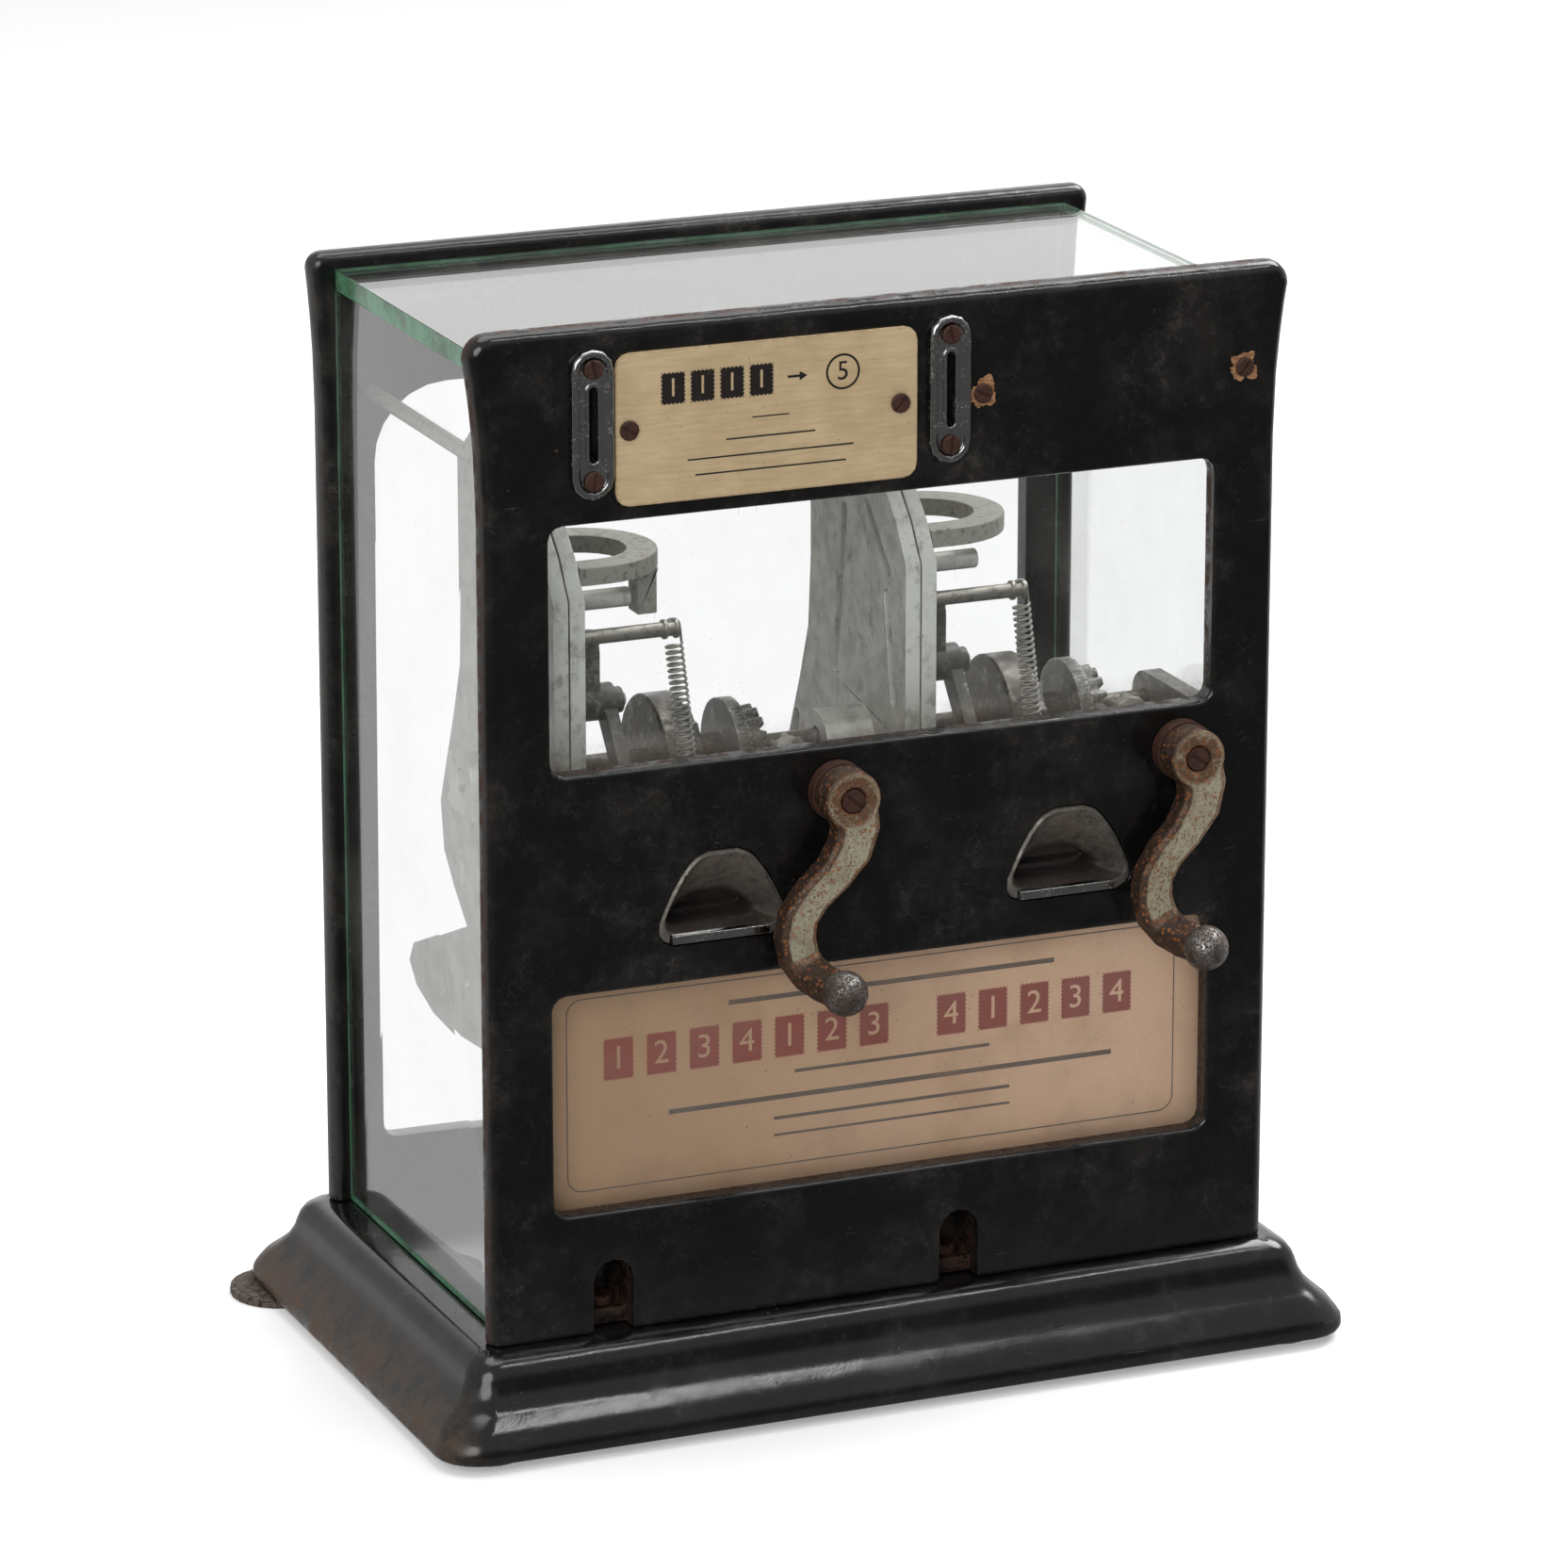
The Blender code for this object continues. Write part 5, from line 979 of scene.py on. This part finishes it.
class StampSprings(bpy.types.Operator):
    """Extension springs between their posts and the coin levers"""
    bl_idname = "stamp_machine.springs"
    bl_label = "Springs"

    def wire(self, shape, sizes, stand):
        """Corners and edges of a ring of wire."""
        ring = bmesh.ops.create_circle(shape, segments=wire_corners, radius=sizes.wire_radius,
                                       matrix=stand)["verts"]
        return ring, [edge for edge in shape.edges if all(vert in ring for vert in edge.verts)]

    def cap(self, shape, *rings):
        """Close the wire's ends."""
        for ring in rings:
            bmesh.ops.contextual_create(shape, geom=ring)

    def coil(self, sizes, span):
        """The stretched coil, spun up from one ring of wire and capped at both ends."""
        shape = bmesh.new()
        stand = Matrix.Translation((0, sizes.coil_radius, sizes.hook_neck)) @ Matrix.Rotation(pi / 2, 4, "Y")
        ring, lines = self.wire(shape, sizes, stand)
        steps = sizes.coil_turns * steps_in_a_turn
        rise = (span - 2 * sizes.hook_neck) / steps
        made = bmesh.ops.spin(shape, geom=lines, cent=(0, 0, 0), axis=upwards, dvec=(0, 0, rise),
                              angle=2 * pi * sizes.coil_turns, steps=steps)
        self.cap(shape, ring, corners_in(made["geom_last"]))
        bmesh.ops.recalc_face_normals(shape, faces=shape.faces)
        return shape

    def hook(self, shape, sizes, pin_z, start_z, way):
        """An end of the wire: straight from the coil to beside the pin, then round the pin."""
        begun = len(shape.faces)
        first_z = start_z + way * sizes.wire_radius
        ring, lines = self.wire(shape, sizes, Matrix.Translation((0, sizes.coil_radius, first_z)))
        drawn = bmesh.ops.extrude_edge_only(shape, edges=lines)["geom"]
        ends = corners_in(drawn)
        bmesh.ops.translate(shape, vec=(0, 0, pin_z - first_z), verts=ends)
        far = [item for item in drawn if isinstance(item, bmesh.types.BMEdge)
               and all(vert in ends for vert in item.verts)]
        made = bmesh.ops.spin(shape, geom=far, cent=(0, 0, pin_z), axis=(-way, 0, 0), angle=hook_sweep,
                              steps=hook_steps)
        self.cap(shape, ring, corners_in(made["geom_last"]))
        shape.faces.ensure_lookup_table()
        bmesh.ops.recalc_face_normals(shape, faces=shape.faces[begun:])

    def execute(self, context):
        sizes = context.scene.stamp_machine_sizes
        for side in sides:
            dressed("spring_post_" + side, "dull_plated_steel", sizes.fitting_round)
            low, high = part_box("spring_" + side)
            reach = sizes.coil_radius + sizes.wire_radius
            top = Vector((low.x + reach, (low.y + high.y) / 2, high.z - reach))
            foot = Vector((high.x - reach, (low.y + high.y) / 2, low.z + reach))
            span = (top - foot).length
            shape = self.coil(sizes, span)
            self.hook(shape, sizes, 0, sizes.hook_neck, 1)
            self.hook(shape, sizes, span, span - sizes.hook_neck, -1)
            tilt = (top - foot).to_track_quat("Z", "Y").to_matrix().to_4x4()
            bmesh.ops.transform(shape, matrix=Matrix.Translation(foot) @ tilt, verts=shape.verts)
            spring = finish_piece("spring_" + side + "_coil", shape, ["bright_spring_steel"], None,
                                  "spring_" + side, crease=coil_crease, even=False)
            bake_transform(spring)
        return {"FINISHED"}


class StampFeeds(bpy.types.Operator):
    """Feed shafts, drums, bevel gears, coin levers and the shaft bracket"""
    bl_idname = "stamp_machine.feeds"
    bl_label = "Feed Trains"

    def execute(self, context):
        radius = context.scene.stamp_machine_sizes.fitting_round
        for side in sides:
            dressed("feed_shaft_" + side, "oily_steel", radius)
            dressed("feed_drum_" + side, "oily_steel", 0)
            dressed("bevel_gear_" + side, "oily_zinc_casting", 0)
            dressed("coin_lever_" + side, "oily_zinc_casting", radius)
        dressed("shaft_bracket_right", "oily_zinc_casting", radius)
        return {"FINISHED"}


class StampScrews(bpy.types.Operator):
    """Slotted screws, tie rods, and torn fibre under the two spare screws"""
    bl_idname = "stamp_machine.screws"
    bl_label = "Screws"

    def scrap(self, side, sizes):
        """Fibre torn off round a spare screw, with ragged edges."""
        centre = middle("spare_screw_" + side)
        centre.y = front_face - sizes.scrap_thickness
        shape = bmesh.new()
        bmesh.ops.create_circle(shape, cap_ends=True, segments=40, radius=sizes.scrap_radius,
                                matrix=on_front(centre))
        for vert in shape.verts:
            wide, narrow = (noise.noise(vert.co * per_metre(size)) for size in (3.4, 0.9))
            vert.co += (vert.co - centre) * (0.45 * wide + 0.25 * narrow)
        bmesh.ops.solidify(shape, geom=shape.faces[:], thickness=sizes.scrap_thickness)
        finish_piece("fibre_scrap_" + side, shape, ["torn_red_fibre"], even=False)

    def execute(self, context):
        sizes = context.scene.stamp_machine_sizes
        radius = sizes.fitting_round / 2
        for side in sides:
            for name in ("price_plate_screw_", "spare_screw_", "base_screw_", "coin_plate_screw_top_",
                         "coin_plate_screw_bottom_"):
                dressed(name + side, "rusted_screw_iron", radius)
            dressed("tie_rod_" + side, "dull_plated_steel", radius)
            self.scrap(side, sizes)
        return {"FINISHED"}


class StampStage(bpy.types.Operator):
    """White floor, soft lamps, a white world and the camera"""
    bl_idname = "stamp_machine.stage"
    bl_label = "Stage"

    def floor(self, scene):
        """White sweep of paper, far larger than the view."""
        shape = bmesh.new()
        bmesh.ops.create_grid(shape, x_segments=1, y_segments=1, size=12)
        mesh = bpy.data.meshes.new("studio_floor")
        shape.to_mesh(mesh)
        shape.free()
        stage = bpy.data.objects.new("studio_floor", mesh)
        scene.collection.objects.link(stage)
        self.white_paper()
        mesh.materials.append(bpy.data.materials["white_paper_sweep"])

    def white_paper(self):
        """It glows a little to the eye, so it stays white and keeps the shadow. Gloss and glass see it
        fall to dark in front of the machine, where the studio's black flag stands."""
        tree, surface, place = blank("white_paper_sweep", {"Base Color": "#E4E4E4", "Roughness": 0.9,
                                                           "Specular IOR Level": 0.0})
        rays = add_node(tree, "ShaderNodeLightPath").outputs
        glow = add_node(tree, "ShaderNodeEmission", {"Strength": joined(tree, rays["Is Camera Ray"], 0.30)})
        lit = add_node(tree, "ShaderNodeAddShader", {0: surface.outputs[0], 1: glow.outputs[0]})
        far = layered(tree, 0.70, (rays["Is Transmission Ray"], 1.03))
        shown = layered(tree, 0.11, (along(tree, place, "Y", -0.25, 0.12), far))
        flagged = add_node(tree, "ShaderNodeEmission", {"Strength": shown})
        show(tree, add_node(tree, "ShaderNodeMixShader", {0: rays["Is Glossy Ray"], 1: lit.outputs[0],
                                                          2: flagged.outputs[0]}))

    def room(self, scene):
        """White to the eye and through glass. Gloss sees it grey, bright behind on the right, and nearly
        black in front, where the flag stands. Its masks read the parts of a direction, from -1 to 1."""
        world = bpy.data.worlds.new("studio")
        scene.world = world
        world.use_nodes = True
        tree = world.node_tree
        tree.nodes.clear()
        rays = add_node(tree, "ShaderNodeLightPath").outputs
        towards = add_node(tree, "ShaderNodeTexCoord").outputs["Generated"]
        ahead = along(tree, towards, "Y", -0.15, -0.65)
        level = along(tree, towards, "Z", 0.55, 0.30)
        behind = along(tree, towards, "Y", 0.35, 0.75)
        right = along(tree, towards, "X", -0.25, 0.15)
        gloss = layered(tree, 0.55, (joined(tree, behind, right), 1.4))
        flag = joined(tree, ahead, level, rays["Is Glossy Ray"])
        strength = layered(tree, 0.42, (rays["Is Glossy Ray"], gloss), (rays["Is Transmission Ray"], 1.06),
                           (flag, 0.13), (rays["Is Camera Ray"], 1.0))
        sky = add_node(tree, "ShaderNodeBackground", {"Color": (1, 1, 1, 1), "Strength": strength})
        add_node(tree, "ShaderNodeOutputWorld", {"Surface": sky.outputs[0]})

    def lamp(self, scene, name, watts, place, aim, width, height=None):
        """A soft disc of light, or a strip where it has a height."""
        light = bpy.data.lights.new(name, "AREA")
        light.shape = "RECTANGLE" if height else "DISK"
        light.size = width
        light.size_y = height or width
        light.energy = watts
        lamp = bpy.data.objects.new(name, light)
        lamp.location = place
        lamp.rotation_euler = (Vector(aim) - Vector(place)).to_track_quat("-Z", "Y").to_euler()
        scene.collection.objects.link(lamp)

    def camera(self, scene):
        """Long lens at the photograph's viewing angle, turned down and to the right."""
        lens = bpy.data.cameras.new("camera")
        lens.sensor_width = 36
        lens.lens = 176.2
        lens.clip_end = 100
        viewer = bpy.data.objects.new("camera", lens)
        viewer.location = (-0.89695, -2.12837, 0.87138)
        viewer.rotation_euler = (pi / 2 - 0.29122, 0.00034, -0.39838)
        scene.collection.objects.link(viewer)
        scene.camera = viewer

    def execute(self, context):
        scene = context.scene
        scene.view_settings.view_transform = "Standard"
        self.floor(scene)
        self.room(scene)
        self.lamp(scene, "key_softbox", 46, (1.5, 0.5, 1.9), (0, 0, 0.12), 1.4)
        self.lamp(scene, "fill_softbox", 28, (-1.4, -1.7, 1.3), (0, 0, 0.15), 1.6)
        self.lamp(scene, "top_softbox", 20, (0, 0.2, 2.2), (0, 0, 0), 1.6)
        self.lamp(scene, "strip_softbox", 3.2, (0.72, -0.7, 1.85), (0, -0.1, 0.03), 0.9, 0.05)
        self.camera(scene)
        return {"FINISHED"}


pieces = (StampCastings, StampFeet, StampGlass, StampPricePlate, StampSign, StampCoinPlates, StampOutlets,
          StampCranks, StampChutes, StampSprings, StampFeeds, StampScrews, StampStage)


class STAMPMACHINE_PT_sidebar(bpy.types.Panel):
    """Sizes, colours and pieces of the machine"""
    bl_label = "Stamp Machine"
    bl_space_type = "VIEW_3D"
    bl_region_type = "UI"
    bl_category = "Stamp Machine"

    def draw(self, context):
        for group in (context.scene.stamp_machine_sizes, context.scene.stamp_machine_colours):
            column = self.layout.column(align=True)
            for name in group.__annotations__:
                column.prop(group, name)
        column = self.layout.column(align=True)
        for operator in pieces:
            column.operator(operator.bl_idname)


classes = (StampMachineSizes, StampMachineColours, *pieces, STAMPMACHINE_PT_sidebar)


def register():
    for one in classes:
        bpy.utils.register_class(one)
    bpy.types.Scene.stamp_machine_sizes = PointerProperty(type=StampMachineSizes)
    bpy.types.Scene.stamp_machine_colours = PointerProperty(type=StampMachineColours)


def unregister():
    del bpy.types.Scene.stamp_machine_colours
    del bpy.types.Scene.stamp_machine_sizes
    for one in reversed(classes):
        bpy.utils.unregister_class(one)


def main():
    register()
    bpy.ops.stamp_machine.castings()
    bpy.ops.stamp_machine.feet()
    bpy.ops.stamp_machine.glass()
    bpy.ops.stamp_machine.price_plate()
    bpy.ops.stamp_machine.sign()
    bpy.ops.stamp_machine.coin_plates()
    bpy.ops.stamp_machine.outlets()
    bpy.ops.stamp_machine.cranks()
    bpy.ops.stamp_machine.chutes()
    bpy.ops.stamp_machine.springs()
    bpy.ops.stamp_machine.feeds()
    bpy.ops.stamp_machine.screws()
    bpy.ops.stamp_machine.stage()


if __name__ == "__main__":
    main()
